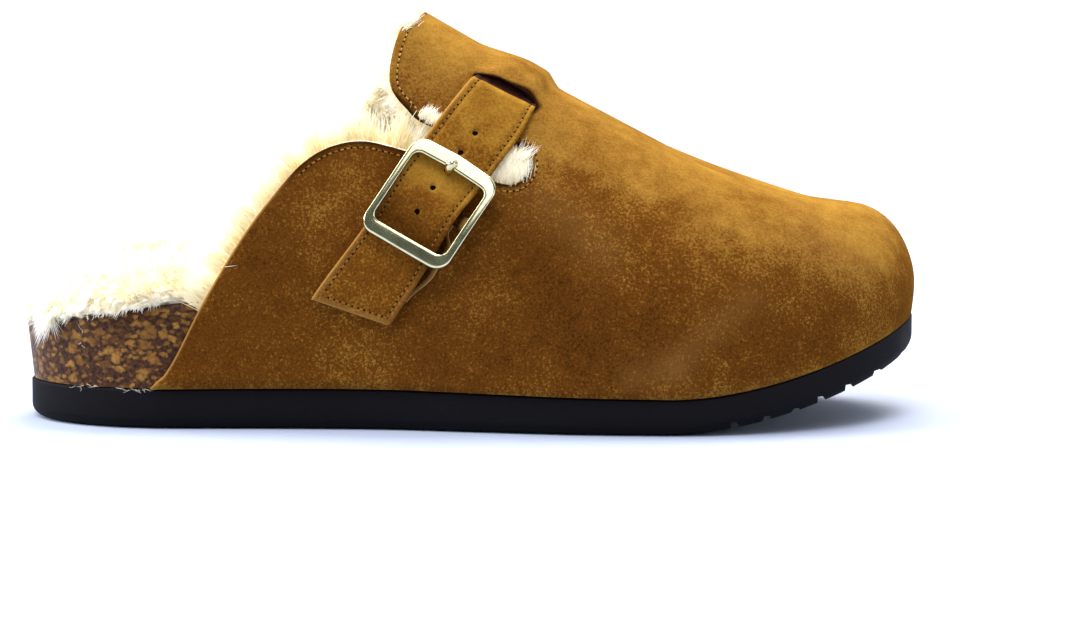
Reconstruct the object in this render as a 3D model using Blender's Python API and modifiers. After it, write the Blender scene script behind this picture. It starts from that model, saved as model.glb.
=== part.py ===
"""Right-foot suede clog slipper: black sole, cork footbed, shearling, buckled strap."""

import math
import random
from collections import namedtuple
from functools import lru_cache

import bmesh
import bpy
from mathutils import Matrix, Vector

# Driving sizes in millimetres: x from the back of the heel, +y to the inner side, z from the floor
MM = 0.001
GAP = 0.3
WELD = 0.01
SHARP_ANGLE = 40.0
SOLE_LENGTH = 258.5
HEEL_CENTRE_X = 45.0
HEEL_HALF_WIDTH = 33.2
HEEL_SPINE_X = 25.0
TOE_SPINE_X = 235.0
TOE_TIP_Y = 8.0
TOE_SPRING = 19.5
TOE_SPRING_POWER = 1.7

# The outer and inner side of the foot: where the ball is widest, how square the toe is
Side = namedtuple("Side", "sign name ball_x toe_power")
LATERAL = Side(-1, "lateral", 185.0, 2.0)
MEDIAL = Side(1, "medial", 195.0, 2.3)

# Half widths of the sole's plan between heel and ball
PlanRow = namedtuple("PlanRow", "x lateral medial")
PLAN = (
    PlanRow(40.0, 33.2, 33.2),
    PlanRow(45.0, 33.2, 33.2),
    PlanRow(78.0, 33.6, 31.4),
    PlanRow(105.0, 35.5, 29.5),
    PlanRow(130.0, 40.5, 32.0),
    PlanRow(158.0, 45.6, 40.0),
    PlanRow(185.0, 47.5, 46.0),
    PlanRow(195.0, 47.5, 46.5),
    PlanRow(200.0, 47.5, 46.5),
)

# Thickness of the outsole along the foot
SoleRow = namedtuple("SoleRow", "x thickness")
SOLE = (
    SoleRow(0.0, 11.0),
    SoleRow(100.0, 11.6),
    SoleRow(170.0, 10.4),
    SoleRow(258.5, 9.5),
)
SOLE_EDGE_ROUND = 3.6
SOLE_STEPS = (8, 10, 8)

# Tread: zigzag grooves across heel and forefoot, with the waist left plain
TreadRow = namedtuple("TreadRow", "start pitch count edge_margin")
TREAD = (
    TreadRow(17.0, 13.5, 7, 7.0),
    TreadRow(155.0, 12.0, 4, 7.0),
    TreadRow(204.0, 8.4, 7, -6.0),
)
GROOVE_WIDTH = 3.0
GROOVE_DEPTH = 2.0
GROOVE_TAPER = 0.6
GROOVE_ZIGZAG = 2.2
GROOVE_BENDS = 5

# Cork footbed: rim heights above the sole's top, dish depth and how far each edge stands in
CorkRow = namedtuple("CorkRow", "x lateral medial centre low_outset high_outset")
CORK = (
    CorkRow(0.0, 16.6, 16.6, 12.0, -0.7, 1.1),
    CorkRow(23.0, 21.2, 21.5, 11.0, -0.8, 0.4),
    CorkRow(46.0, 24.4, 25.0, 10.0, -1.0, -2.2),
    CorkRow(70.0, 25.0, 27.0, 11.0, -1.0, -2.8),
    CorkRow(100.0, 20.0, 27.0, 13.0, -1.0, -2.8),
    CorkRow(130.0, 14.0, 20.0, 12.0, -1.0, -2.4),
    CorkRow(160.0, 10.0, 13.0, 9.0, -1.2, -2.2),
    CorkRow(190.0, 9.0, 9.5, 8.0, -1.8, -2.4),
    CorkRow(225.0, 8.6, 8.6, 8.0, -2.9, -3.0),
    CorkRow(258.5, 8.5, 8.5, 8.0, -2.9, -3.0),
)
CORK_DISH_POWER = 2.2
CORK_RIM_WIDTH = 3.0
DISH_STEPS = 5

# Upper: the crest line over the foot and the roundness of the sections under it
RidgeRow = namedtuple("RidgeRow", "x y z power")
RIDGE = (
    RidgeRow(35.0, 0.0, 163.0, 2.0),
    RidgeRow(75.0, 0.5, 140.5, 2.0),
    RidgeRow(115.0, 2.0, 117.6, 2.0),
    RidgeRow(135.0, 2.6, 106.0, 2.0),
    RidgeRow(155.0, 3.1, 94.5, 2.05),
    RidgeRow(168.0, 3.4, 87.5, 2.1),
    RidgeRow(181.0, 3.8, 80.4, 2.2),
    RidgeRow(194.0, 4.2, 73.4, 2.25),
    RidgeRow(207.0, 4.8, 67.5, 2.3),
    RidgeRow(216.0, 5.3, 64.2, 2.35),
    RidgeRow(225.0, 5.7, 62.9, 2.4),
    RidgeRow(235.0, 6.2, 62.0, 2.4),
)
UPPER_OUTSET = 1.4
UPPER_WALL = 2.0
UPPER_START = 0.84
UPPER_COLUMNS = 20
UPPER_STEPS = (2, 17, 11)
TOE_TUCK = 1.6
TUCK_ANGLE = 22.0
TUCK_FROM = 1.6
TUCK_FULL = 2.6

# Collar edge in side view, from the sole up to the flap over the instep
CollarRow = namedtuple("CollarRow", "x z")
QUARTER_EDGE = (
    CollarRow(38.0, 6.0),
    CollarRow(44.6, 20.0),
    CollarRow(53.2, 37.7),
    CollarRow(64.6, 56.4),
    CollarRow(74.5, 69.1),
    CollarRow(81.0, 76.0),
    CollarRow(88.0, 80.2),
    CollarRow(96.0, 82.0),
    CollarRow(104.3, 80.9),
    CollarRow(122.7, 75.4),
    CollarRow(137.5, 70.3),
)
NOTCH_END = CollarRow(139.6, 75.8)
NOTCH_RADIUS = 5.7
NOTCH_TURNS = (-50.0, 0.0, 50.0, 100.0)
FLAP_EDGE = (
    CollarRow(117.0, 86.2),
    CollarRow(109.9, 91.5),
    CollarRow(105.7, 97.5),
    CollarRow(106.0, 105.5),
    CollarRow(109.0, 114.0),
    CollarRow(115.5, 121.0),
)
INNER_EDGE = (
    CollarRow(38.0, 6.0),
    CollarRow(49.0, 30.0),
    CollarRow(58.0, 48.5),
    CollarRow(65.0, 59.0),
    CollarRow(74.0, 68.5),
    CollarRow(82.0, 76.0),
    CollarRow(91.0, 82.5),
    CollarRow(97.5, 90.0),
    CollarRow(101.5, 99.0),
    CollarRow(105.0, 108.5),
    CollarRow(115.5, 121.0),
)
CUT_BACK_X = -20.0
CUT_TOP_Z = 170.0
CUT_HALF_DEPTH = 60.0
CUT_TOP_RUN = 4.0
CUT_SEAM_Y = 1.6
CUT_SEAM_LAP = 0.1
CUT_CURVE_STEPS = 3

# Shearling insole: how far its edge stands out from the sole's plan, and its pile
InsoleRow = namedtuple("InsoleRow", "x lip rim_pile centre_pile")
INSOLE = (
    InsoleRow(0.0, 2.2, 14.5, 11.0),
    InsoleRow(36.0, 2.0, 14.5, 10.5),
    InsoleRow(43.0, -4.5, 13.5, 10.0),
    InsoleRow(50.0, -9.5, 12.0, 9.0),
    InsoleRow(80.0, -9.4, 10.0, 8.5),
    InsoleRow(130.0, -10.0, 8.5, 8.0),
    InsoleRow(258.5, -10.0, 7.5, 7.0),
)
INSOLE_SEAT = 0.5
INSOLE_SEAT_SHARES = (0.0, 0.4, 0.75, 1.0)
INSOLE_MID_SHARE = 0.55
INSOLE_HOLLOW = 0.22

# Rounding of the insole's edge: steps in from its lip as the pile rises
PileRow = namedtuple("PileRow", "step_in share")
PILE_EDGE = (
    PileRow(0.0, 0.06),
    PileRow(-0.7, 0.35),
    PileRow(1.6, 0.78),
    PileRow(6.0, 1.0),
)

# Locks of fleece: two rings round the heel, one along the collar
LockRow = namedtuple("LockRow", "point advance tilt")
LOCK_RINGS = (
    LockRow(5, 0.0, -0.1),
    LockRow(6, 0.03, 0.9),
)
HEEL_LOCKS = 9
HEEL_LOCKS_TO = 0.86
LOCK_AIM = 10.0
LOCK_TILT_SPREAD = 0.25
LOCK_ROOT_DEPTH = 1.8
LOCK_CENTRE_SHARE = 0.3
LOCK_RADIUS = 3.8
LOCK_TIP_RADIUS = 1.6
LOCK_LENGTH = 5.0
LOCK_SIDES = 5

# Shearling lining inside the upper, standing a little proud of the collar
LINING_PILE = 5.0
LINING_GAP = 0.55
LINING_PROUD = 3.0
LINING_FOOT = 3.0
LINING_START = 0.92
LINING_COLUMNS = 10
LINING_STEPS = (1, 11, 7)
LINING_QUARTER_ROWS = 8
LINING_FLAP_FROM = 2
COLLAR_LOCKS_FROM = 2
COLLAR_LOCK_DEPTH = 1.5
COLLAR_LOCK_SHARE = 0.7
COLLAR_LOCK_LEAN = 0.4

# Strap, made flat on the bench: x runs along it from the buckle, its underside this far off the suede
StrapRow = namedtuple("StrapRow", "x lift")
STRAP = (
    StrapRow(-37.0, 1.3),
    StrapRow(-31.0, 1.7),
    StrapRow(-22.0, 1.7),
    StrapRow(-13.4, 1.7),
    StrapRow(-10.5, 1.95),
    StrapRow(-4.0, 4.2),
    StrapRow(0.0, 4.6),
    StrapRow(4.0, 4.1),
    StrapRow(13.4, 0.8),
    StrapRow(22.0, 0.4),
    StrapRow(36.5, 0.5),
    StrapRow(39.0, 0.35),
    StrapRow(43.6, -2.0),
    StrapRow(47.0, -2.0),
    StrapRow(70.0, -2.0),
)
BUCKLE_STATION = 1.511
BUCKLE_ANGLE = 30.6
STRAP_HEADING = (0.556, 0.156, 0.816)
STRAP_STRIDE = 2.0
STRAP_WIDTH = 22.0
STRAP_THICKNESS = 2.0
STRAP_STEP = 4.2
TAIL_SLANT = 0.27
TAIL_SLANT_RUN = 22.0
STRAP_HOLES = (-4.2, 3.6, 17.3, 25.0)
STRAP_HOLE_RADIUS = 1.1
PUNCH_LOW = -1.0
PUNCH_HIGH = 9.0
STRAP_COLUMNS = 3

# Raised band of the upper over the strap's hidden end, and the slot where it comes out
SLOT_T = 44.0
SLOT_LENGTH = 6.2
BAND_FADE_T = 67.0
BAND_END_T = 86.0
BAND_DIVE = 3.0
BAND_HEIGHT = 2.2
BAND_FALL = 3.5
BAND_STEPS = 10
CHANNEL_SIDE_GAP = 0.4
CHANNEL_ROOF = 0.5
CHANNEL_UNDER = 1.0
CHANNEL_STEPS = 8
STRAP_END_GAP = 1.0

# Cast buckle: frame round the strap, middle bar, prong and the suede tab that holds the bar
BUCKLE_HALF_WIDTH = 13.4
BUCKLE_HALF_LENGTH = 15.6
BUCKLE_CORNER = 4.0
CORNER_POINTS = 5
WINDOW_HALF_WIDTH = 11.4
WINDOW_HALF_LENGTH = 11.3
WINDOW_CORNER = 2.2
BUCKLE_UNDERSIDE = 4.2
BUCKLE_TOP = 7.8
BAR_HEIGHT = 2.35
BAR_RADIUS = 0.8
LUG_HALF_LENGTH = 1.6
LUG_INSET = 0.15
BUCKLE_EDGE = 0.5
PRONG_RADIUS = 0.9
PRONG_RING_RADIUS = 1.85
PRONG_RING_BORE = 1.1
PRONG_RING_WIDTH = 3.0
ProngRow = namedtuple("ProngRow", "x height")
PRONG = (
    ProngRow(1.45, 2.35),
    ProngRow(4.5, 2.2),
    ProngRow(7.5, 3.3),
    ProngRow(10.5, 5.9),
    ProngRow(13.0, 7.1),
)
PRONG_CLEARANCE = 1.3
PRONG_SIDES = 8
PRONG_STEPS = 8
PRONG_HOLE_FROM = 5.5
PRONG_HOLE_TO = 11.5
TIP_NOTCH_FROM = 9.5
TIP_NOTCH_TO = 14.2
TAB_THICKNESS = 0.95
TAB_HALF_WIDTH = 10.0
TAB_SHIFT = 3.0
TAB_LENGTH = 27.0
TAB_SHIFT_FROM = -8.0
TAB_SHIFT_TO = -4.0
TAB_END_RUN = 10.0
TAB_END_NARROW = 2.5
TAB_WRAP = 255.0
TAB_SLOT_HALF_WIDTH = 1.9
TAB_SLOT_HALF_LENGTH = 2.6
TAB_LEAF_STEPS = 6
TAB_LOOP_STEPS = 9


def smooth(rows, x, column):
    """Cubic curve through one column of a table, level beyond its ends"""
    x = min(max(x, rows[0].x), rows[-1].x)
    low = next(k for k in range(len(rows) - 1) if x <= rows[k + 1].x)

    def slope(k):
        before, after = rows[max(k - 1, 0)], rows[min(k + 1, len(rows) - 1)]
        return (getattr(after, column) - getattr(before, column)) / (after.x - before.x)

    start, end = getattr(rows[low], column), getattr(rows[low + 1], column)
    span = rows[low + 1].x - rows[low].x
    t = (x - rows[low].x) / span
    lead_out = t * (1 - t) ** 2 * span * slope(low)
    lead_in = t * t * (t - 1) * span * slope(low + 1)
    return start + (end - start) * t * t * (3 - 2 * t) + lead_out + lead_in


def ease(value, low, high):
    """Soft step from 0 at low to 1 at high"""
    t = min(max((value - low) / (high - low), 0.0), 1.0)
    return t * t * (3 - 2 * t)


def sole_bottom(x):
    """Height of the sole's underside: flat to the ball, then the toe spring"""
    run = max(x - LATERAL.ball_x, 0.0) / (SOLE_LENGTH - LATERAL.ball_x)
    return TOE_SPRING * run**TOE_SPRING_POWER


def sole_top(x):
    """Height of the face that carries the footbed and the upper's edge"""
    return sole_bottom(x) + smooth(SOLE, x, "thickness")


def outline(s, side, outset=0.0):
    """Plan outline at station s: 0 heel back, 1 heel's widest, 2 ball, 3 toe tip"""
    if s <= 1:
        turn = s * math.pi / 2
        x = HEEL_CENTRE_X - (HEEL_CENTRE_X + outset) * math.cos(turn)
        return x, side.sign * (HEEL_HALF_WIDTH + outset) * math.sin(turn)
    if s <= 2:
        x = HEEL_CENTRE_X + (s - 1) * (side.ball_x - HEEL_CENTRE_X)
        return x, side.sign * (smooth(PLAN, x, side.name) + outset)
    turn = min(s - 2, 1.0) * math.pi / 2
    power = 2 / side.toe_power
    reach = SOLE_LENGTH - side.ball_x + outset
    half = smooth(PLAN, side.ball_x, side.name) - side.sign * TOE_TIP_Y + outset
    x = side.ball_x + reach * math.sin(turn) ** power
    return x, TOE_TIP_Y + side.sign * half * max(math.cos(turn), 0.0) ** power


def spine(s):
    """Point of the middle line over station s"""
    if s <= 1:
        x = HEEL_SPINE_X + s * (HEEL_CENTRE_X - HEEL_SPINE_X)
    elif s <= 2:
        x = HEEL_CENTRE_X + (s - 1) * (LATERAL.ball_x - HEEL_CENTRE_X)
    else:
        x = LATERAL.ball_x + (s - 2) * (TOE_SPINE_X - LATERAL.ball_x)
    return x, smooth(RIDGE, x, "y")


def surface(s, angle):
    """Outer face of the upper: angle 0 at the outer edge, 90 on the crest, 180 at the inner edge"""
    side = LATERAL if angle <= 90 else MEDIAL
    lean = min(angle, 180 - angle)
    tuck = TOE_TUCK * ease(s, TUCK_FROM, TUCK_FULL) * max(1 - lean / TUCK_ANGLE, 0.0) ** 2
    rim_x, rim_y = outline(s, side, UPPER_OUTSET - tuck)
    top_x, top_y = spine(s)
    foot = sole_top(rim_x) + GAP
    crown = smooth(RIDGE, top_x, "z")
    power = 2 / smooth(RIDGE, top_x, "power")
    spread = max(math.cos(math.radians(lean)), 0.0) ** power
    rise = math.sin(math.radians(lean)) ** power
    x = top_x + (rim_x - top_x) * spread
    y = top_y + (rim_y - top_y) * spread
    return Vector((x, y, foot + (crown - foot) * rise))


def surface_frame(s, angle):
    """Point, outward normal and the two tangents of the upper's outer face"""
    ds, da = 0.002, 0.2
    before, after = max(s - ds, 0.0), min(s + ds, 3.0)
    under, over = max(angle - da, 0.0), min(angle + da, 180.0)
    along = (surface(after, angle) - surface(before, angle)) / (after - before)
    across = (surface(s, over) - surface(s, under)) / (over - under)
    return surface(s, angle), along.cross(across).normalized(), along, across


def section_lean(s, side, height):
    """Angle at which the outer face stands this high above its own edge"""
    rim_x, _ = outline(s, side, UPPER_OUTSET)
    top_x, _ = spine(s)
    crown = smooth(RIDGE, top_x, "z") - sole_top(rim_x) - GAP
    share = min(height / crown, 1.0)
    return math.degrees(math.asin(share ** (smooth(RIDGE, top_x, "power") / 2)))


def walk(s, angle, heading, distance):
    """Follow the straightest line on the outer face, as a flat strap does"""
    steps = max(1, math.ceil(abs(distance) / STRAP_STRIDE))
    stride = distance / steps
    for _ in range(steps):
        _, normal, along, across = surface_frame(s, angle)
        heading = (heading - normal * heading.dot(normal)).normalized()
        aa, ab, bb = along.dot(along), along.dot(across), across.dot(across)
        ha, hb = heading.dot(along), heading.dot(across)
        area = aa * bb - ab * ab
        s += stride * (ha * bb - hb * ab) / area
        angle += stride * (hb * aa - ha * ab) / area
    return s, angle, heading


@lru_cache(maxsize=None)
def strap_line(t):
    """Station, angle and heading on the strap's middle line, t from the buckle"""
    return walk(BUCKLE_STATION, BUCKLE_ANGLE, Vector(STRAP_HEADING), t)


@lru_cache(maxsize=None)
def strap_spot(t, b):
    """Point and normal of the outer face, t along the strap and b across it"""
    s, angle, heading = strap_line(t)
    _, normal, _, _ = surface_frame(s, angle)
    s, angle, _ = walk(s, angle, heading.cross(normal), b)
    point, normal, _, _ = surface_frame(s, angle)
    return point, normal


def lay(b, t, n):
    """Place on the shoe of a bench point: b across the strap, t along it, n above the suede"""
    point, normal = strap_spot(round(t, 3), round(b, 3))
    return point + normal * n


def in_shoe(point):
    """Millimetres from the heel to metres about the sole's middle"""
    return Vector((point[0] - SOLE_LENGTH / 2, point[1], point[2])) * MM


def loft(rows, closed=True, caps=False):
    """Skin over rows of points, its coincident ends welded"""
    mesh = bmesh.new()
    grid = [[mesh.verts.new(point) for point in row] for row in rows]
    count = len(rows[0])
    for low, high in zip(grid, grid[1:]):
        for i in range(count if closed else count - 1):
            j = (i + 1) % count
            mesh.faces.new((low[i], low[j], high[j], high[i]))
    if caps:
        mesh.faces.new(grid[0])
        mesh.faces.new(grid[-1])
    bmesh.ops.remove_doubles(mesh, verts=mesh.verts, dist=WELD * MM)
    loose = [v for v in mesh.verts if len(v.link_edges) == 2 and not v.is_boundary]
    bmesh.ops.dissolve_verts(mesh, verts=loose)
    bmesh.ops.triangulate(mesh, faces=mesh.faces, quad_method="SHORT_EDGE")
    bmesh.ops.recalc_face_normals(mesh, faces=mesh.faces)
    return mesh


def add_object(name, mesh, collection):
    """New object from a bmesh, smooth but for its sharp edges"""
    data = bpy.data.meshes.new(name)
    mesh.to_mesh(data)
    mesh.free()
    data.shade_smooth()
    data.set_sharp_from_angle(angle=math.radians(SHARP_ANGLE))
    piece = bpy.data.objects.new(name, data)
    collection.objects.link(piece)
    return piece


def cut(piece, tool, operation="DIFFERENCE"):
    """Keep a Boolean on the piece and mark its tool as a guide"""
    change = piece.modifiers.new(f"{operation.lower()} {tool.name}", "BOOLEAN")
    change.operation = operation
    change.solver = "EXACT"
    change.object = tool
    change.use_self = operation == "UNION"
    tool.hide_render = True
    tool.display_type = "WIRE"


def settled(piece):
    """bmesh of the piece with its modifiers worked in, in triangles"""
    graph = bpy.context.evaluated_depsgraph_get()
    data = bpy.data.meshes.new_from_object(piece.evaluated_get(graph))
    mesh = bmesh.new()
    mesh.from_mesh(data)
    bpy.data.meshes.remove(data)
    bmesh.ops.remove_doubles(mesh, verts=mesh.verts, dist=WELD * MM)
    bmesh.ops.triangulate(mesh, faces=mesh.faces)
    return mesh


def lay_on_shoe(name, bench_piece, collection):
    """Bend a piece made flat on the bench over the outer face, its origin at the buckle"""
    mesh = settled(bench_piece)
    bpy.data.objects.remove(bench_piece)
    home = in_shoe(lay(0.0, 0.0, 0.0))
    for vertex in mesh.verts:
        b, t, n = vertex.co / MM
        vertex.co = in_shoe(lay(b, t, n)) - home
    piece = add_object(name, mesh, collection)
    piece.location = home
    return piece


def stations(heel_steps, middle_steps, toe_steps, start=0.0):
    """Stations from start to the toe tip, evenly spaced in each stretch"""
    heel = [start + (1 - start) * i / heel_steps for i in range(heel_steps)]
    middle = [1 + i / middle_steps for i in range(middle_steps)]
    toe = [2 + i / toe_steps for i in range(toe_steps + 1)]
    return heel + middle + toe


def pad(places, profile):
    """Closed form whose section runs under the foot, out, and back over to the middle line"""
    rows = []
    for s in places:
        outer, inner = profile(s, LATERAL), profile(s, MEDIAL)
        rows.append([in_shoe(p) for p in outer + inner[-2:0:-1]])
    return loft(rows)


def outsole_profile(s, side):
    """Section of the black sole: flat faces, upright side, rounded lower edge"""
    middle_x, middle_y = spine(s)
    points = [(middle_x, middle_y, sole_bottom(middle_x))]
    for turn in (0.0, 45.0, 90.0):
        inset = SOLE_EDGE_ROUND * (1 - math.sin(math.radians(turn)))
        lift = SOLE_EDGE_ROUND * (1 - math.cos(math.radians(turn)))
        x, y = outline(s, side, -inset)
        points.append((x, y, sole_bottom(x) + lift))
    x, y = outline(s, side)
    return points + [(x, y, sole_top(x)), (middle_x, middle_y, sole_top(middle_x))]


def station_at(x, side):
    """Station whose outline point lies at x, found by halving"""
    low, high = 0.0, 3.0
    for _ in range(30):
        middle = (low + high) / 2
        if outline(middle, side)[0] < x:
            low = middle
        else:
            high = middle
    return low


def tread_groove(x, edge_margin):
    """Zigzag bar across the sole's underside"""
    half = min(abs(outline(station_at(x, side), side, -edge_margin)[1]) for side in (LATERAL, MEDIAL))
    rows = []
    for i in range(GROOVE_BENDS):
        y = half * (2 * i / (GROOVE_BENDS - 1) - 1)
        shift = x + GROOVE_ZIGZAG * (i % 2 - 0.5)
        floor = sole_bottom(shift)
        section = []
        for sign, drop in ((-1, 1), (1, 1), (1, -1), (-1, -1)):
            width = GROOVE_WIDTH * (1.0 if drop > 0 else GROOVE_TAPER)
            height = floor - GROOVE_DEPTH * drop
            section.append(in_shoe((shift + sign * width / 2, y, height)))
        rows.append(section)
    return loft(rows, caps=True)


def build_outsole(parts, cutters):
    """Black foam sole with its toe spring and tread"""
    sole = add_object("outsole", pad(stations(*SOLE_STEPS), outsole_profile), parts)
    for zone, row in enumerate(TREAD):
        for i in range(row.count):
            mesh = tread_groove(row.start + i * row.pitch, row.edge_margin)
            cut(sole, add_object(f"groove_{zone}_{i}", mesh, cutters))
    return sole


def cork_dish(s, side, fraction):
    """Top of the footbed between the middle line and the inside of its rim"""
    rim_x, rim_y = outline(s, side)
    rim = smooth(CORK, rim_x, side.name)
    inside_x, inside_y = outline(s, side, smooth(CORK, rim_x, "high_outset") - CORK_RIM_WIDTH)
    middle_x, middle_y = spine(s)
    centre = smooth(CORK, middle_x, "centre")
    x = middle_x + (inside_x - middle_x) * fraction
    y = middle_y + (inside_y - middle_y) * fraction
    middle_z, rim_z = sole_top(middle_x) + centre, sole_top(inside_x) + rim
    return Vector((x, y, middle_z + (rim_z - middle_z) * fraction**CORK_DISH_POWER))


def sole_seat(s, side, x, y):
    """Height of the sole's straight top facets under a plan point of station s"""
    middle, rim = Vector(spine(s)), Vector(outline(s, side))
    share = (Vector((x, y)) - middle).length / (rim - middle).length
    return sole_top(middle.x) + (sole_top(rim.x) - sole_top(middle.x)) * share


def cork_profile(s, side):
    """Section of the footbed: flat under, sloping side, narrow rim, dish"""
    middle_x, middle_y = spine(s)
    rim_x, _ = outline(s, side)
    low_x, low_y = outline(s, side, smooth(CORK, rim_x, "low_outset"))
    high_x, high_y = outline(s, side, smooth(CORK, rim_x, "high_outset"))
    rim_z = sole_top(high_x) + smooth(CORK, rim_x, side.name)
    points = [(middle_x, middle_y, sole_top(middle_x) + GAP)]
    points.append((low_x, low_y, sole_seat(s, side, low_x, low_y) + GAP))
    points.append((high_x, high_y, rim_z))
    return points + [cork_dish(s, side, k / DISH_STEPS) for k in range(DISH_STEPS, -1, -1)]


def build_cork_footbed(parts, cutters):
    """Cork footbed, cupped at the heel and raised under the arch"""
    return add_object("cork_footbed", pad(stations(*SOLE_STEPS), cork_profile), parts)


def dish_at(s, side, fraction):
    """Point on the straight facets of the footbed's dish"""
    step = min(int(fraction * DISH_STEPS), DISH_STEPS - 1)
    low = cork_dish(s, side, step / DISH_STEPS)
    high = cork_dish(s, side, (step + 1) / DISH_STEPS)
    return low.lerp(high, fraction * DISH_STEPS - step)


def insole_profile(s, side):
    """Section of the shearling insole: on the dish, out over the heel's rim, deep pile on top"""
    rim_x, _ = outline(s, side)
    lip = smooth(INSOLE, rim_x, "lip")
    inside = smooth(CORK, rim_x, "high_outset") - CORK_RIM_WIDTH
    middle_x, _ = spine(s)
    reach = (cork_dish(s, side, 1.0) - cork_dish(s, side, 0.0)).xy.length
    edge = 1 - max(inside - lip, 0.0) / reach
    lift = Vector((0.0, 0.0, INSOLE_SEAT))
    points = [dish_at(s, side, edge * f) + lift for f in INSOLE_SEAT_SHARES]
    base = points[-1].z
    pile = smooth(INSOLE, rim_x, "rim_pile")
    for row in PILE_EDGE:
        x, y = outline(s, side, lip - row.step_in)
        points.append(Vector((x, y, base + pile * row.share)))
    middle = points[0] + Vector((0.0, 0.0, smooth(INSOLE, middle_x, "centre_pile")))
    crest = points[-1]
    hollow = Vector((0.0, 0.0, INSOLE_HOLLOW * (crest.z - middle.z)))
    points.append(middle.lerp(crest, INSOLE_MID_SHARE) - hollow)
    return points + [middle]


def add_lock(mesh, root, direction, length):
    """One tapered lock of fleece growing from root"""
    turn = Vector((0.0, 0.0, 1.0)).rotation_difference(direction).to_matrix().to_4x4()
    place = Matrix.Translation(in_shoe(root + direction * length * LOCK_CENTRE_SHARE)) @ turn
    bmesh.ops.create_cone(
        mesh,
        cap_ends=True,
        segments=LOCK_SIDES,
        radius1=LOCK_RADIUS * MM,
        radius2=LOCK_TIP_RADIUS * MM,
        depth=length * MM,
        matrix=place,
    )


def build_insole(parts, cutters):
    """Shearling insole with locks fused round the open heel"""
    insole = add_object("fur_insole", pad(stations(*SOLE_STEPS), insole_profile), parts)
    dice = random.Random(5)
    locks = bmesh.new()
    for side in (LATERAL, MEDIAL):
        for i in range(HEEL_LOCKS):
            s = (i + 0.5) / HEEL_LOCKS * HEEL_LOCKS_TO
            for ring in LOCK_RINGS:
                root = insole_profile(s + ring.advance, side)[ring.point]
                x, y = outline(s, side, LOCK_AIM)
                away = Vector((x - root.x, y - root.y, 0.0)).normalized()
                tilt = ring.tilt + dice.uniform(-LOCK_TILT_SPREAD, LOCK_TILT_SPREAD)
                grow = (away + Vector((0.0, 0.0, tilt))).normalized()
                length = LOCK_LENGTH * dice.uniform(0.75, 1.2)
                add_lock(locks, root - away * LOCK_ROOT_DEPTH, grow, length)
    cut(insole, add_object("heel_locks", locks, cutters), "UNION")
    return insole


def side_cutter(name, rows, side, cutters):
    """Solid behind and above a collar edge, over one half of the shoe, from its side view"""
    corner = cut_corner()
    y_from, y_to = -CUT_HALF_DEPTH, CUT_SEAM_Y
    if side is MEDIAL:
        y_from, y_to = CUT_SEAM_Y - CUT_SEAM_LAP, CUT_HALF_DEPTH
    curve = bpy.data.curves.new(name, "CURVE")
    curve.dimensions = "2D"
    curve.fill_mode = "BOTH"
    curve.extrude = (y_to - y_from) / 2 * MM
    curve.resolution_u = CUT_CURVE_STEPS
    spline = curve.splines.new("BEZIER")
    points = list(rows) + corner
    spline.bezier_points.add(len(points) - 1)
    spline.use_cyclic_u = True
    for knot, row in zip(spline.bezier_points, points):
        knot.co = ((row.x - SOLE_LENGTH / 2) * MM, row.z * MM, 0.0)
        straight = row in corner or row in (rows[0], rows[-1])
        knot.handle_left_type = knot.handle_right_type = "VECTOR" if straight else "AUTO"
    guide = bpy.data.objects.new(name, curve)
    cutters.objects.link(guide)
    guide.rotation_euler = (math.pi / 2, 0.0, 0.0)
    guide.location = (0.0, (y_from + y_to) / 2 * MM, 0.0)
    bpy.context.view_layer.update()
    place = guide.matrix_world.copy()
    mesh = settled(guide)
    bpy.data.objects.remove(guide)
    cutter = add_object(name, mesh, cutters)
    cutter.matrix_world = place
    return cutter


def cut_corner():
    """Far corners that close a collar cutter above and behind the shoe"""
    return [
        CollarRow(FLAP_EDGE[-1].x + CUT_TOP_RUN, CUT_TOP_Z),
        CollarRow(CUT_BACK_X, CUT_TOP_Z),
        CollarRow(CUT_BACK_X, QUARTER_EDGE[0].z),
    ]


def notch_rows():
    """Quarter edge, round end of the strap's notch and flap edge, as one line"""
    arc = []
    for turn in NOTCH_TURNS:
        x = NOTCH_END.x + NOTCH_RADIUS * math.cos(math.radians(turn))
        z = NOTCH_END.z + NOTCH_RADIUS * math.sin(math.radians(turn))
        arc.append(CollarRow(x, z))
    return list(QUARTER_EDGE) + arc + list(FLAP_EDGE)


def proud_rows(rows):
    """Collar edge moved back and up by the fur that stands proud of it"""
    moved = []
    for i, row in enumerate(rows):
        before, after = rows[max(i - 1, 0)], rows[min(i + 1, len(rows) - 1)]
        run, rise = after.x - before.x, after.z - before.z
        share = LINING_PROUD / math.hypot(run, rise)
        moved.append(CollarRow(row.x - rise * share, row.z + run * share))
    return moved


def build_upper(parts, cutters):
    """Suede upper: one hollow wall, lasted over the foot, with collar, notch and strap slot"""
    angles = [180.0 * k / UPPER_COLUMNS for k in range(UPPER_COLUMNS + 1)]
    places = stations(*UPPER_STEPS, UPPER_START)
    rows = [[in_shoe(surface(s, angle)) for angle in angles] for s in places]
    upper = add_object("upper", loft(rows, closed=False), parts)
    wall = upper.modifiers.new("wall", "SOLIDIFY")
    wall.thickness = UPPER_WALL * MM
    wall.offset = -1.0
    half = STRAP_WIDTH / 2 + CHANNEL_SIDE_GAP
    cut(upper, bench_tube("strap_band", band_rows(half), cutters), "UNION")
    cut(upper, bench_tube("strap_channel", channel_rows(half), cutters))
    cut(upper, side_cutter("outer_collar", notch_rows(), LATERAL, cutters))
    cut(upper, side_cutter("inner_collar", INNER_EDGE, MEDIAL, cutters))
    return upper


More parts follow.
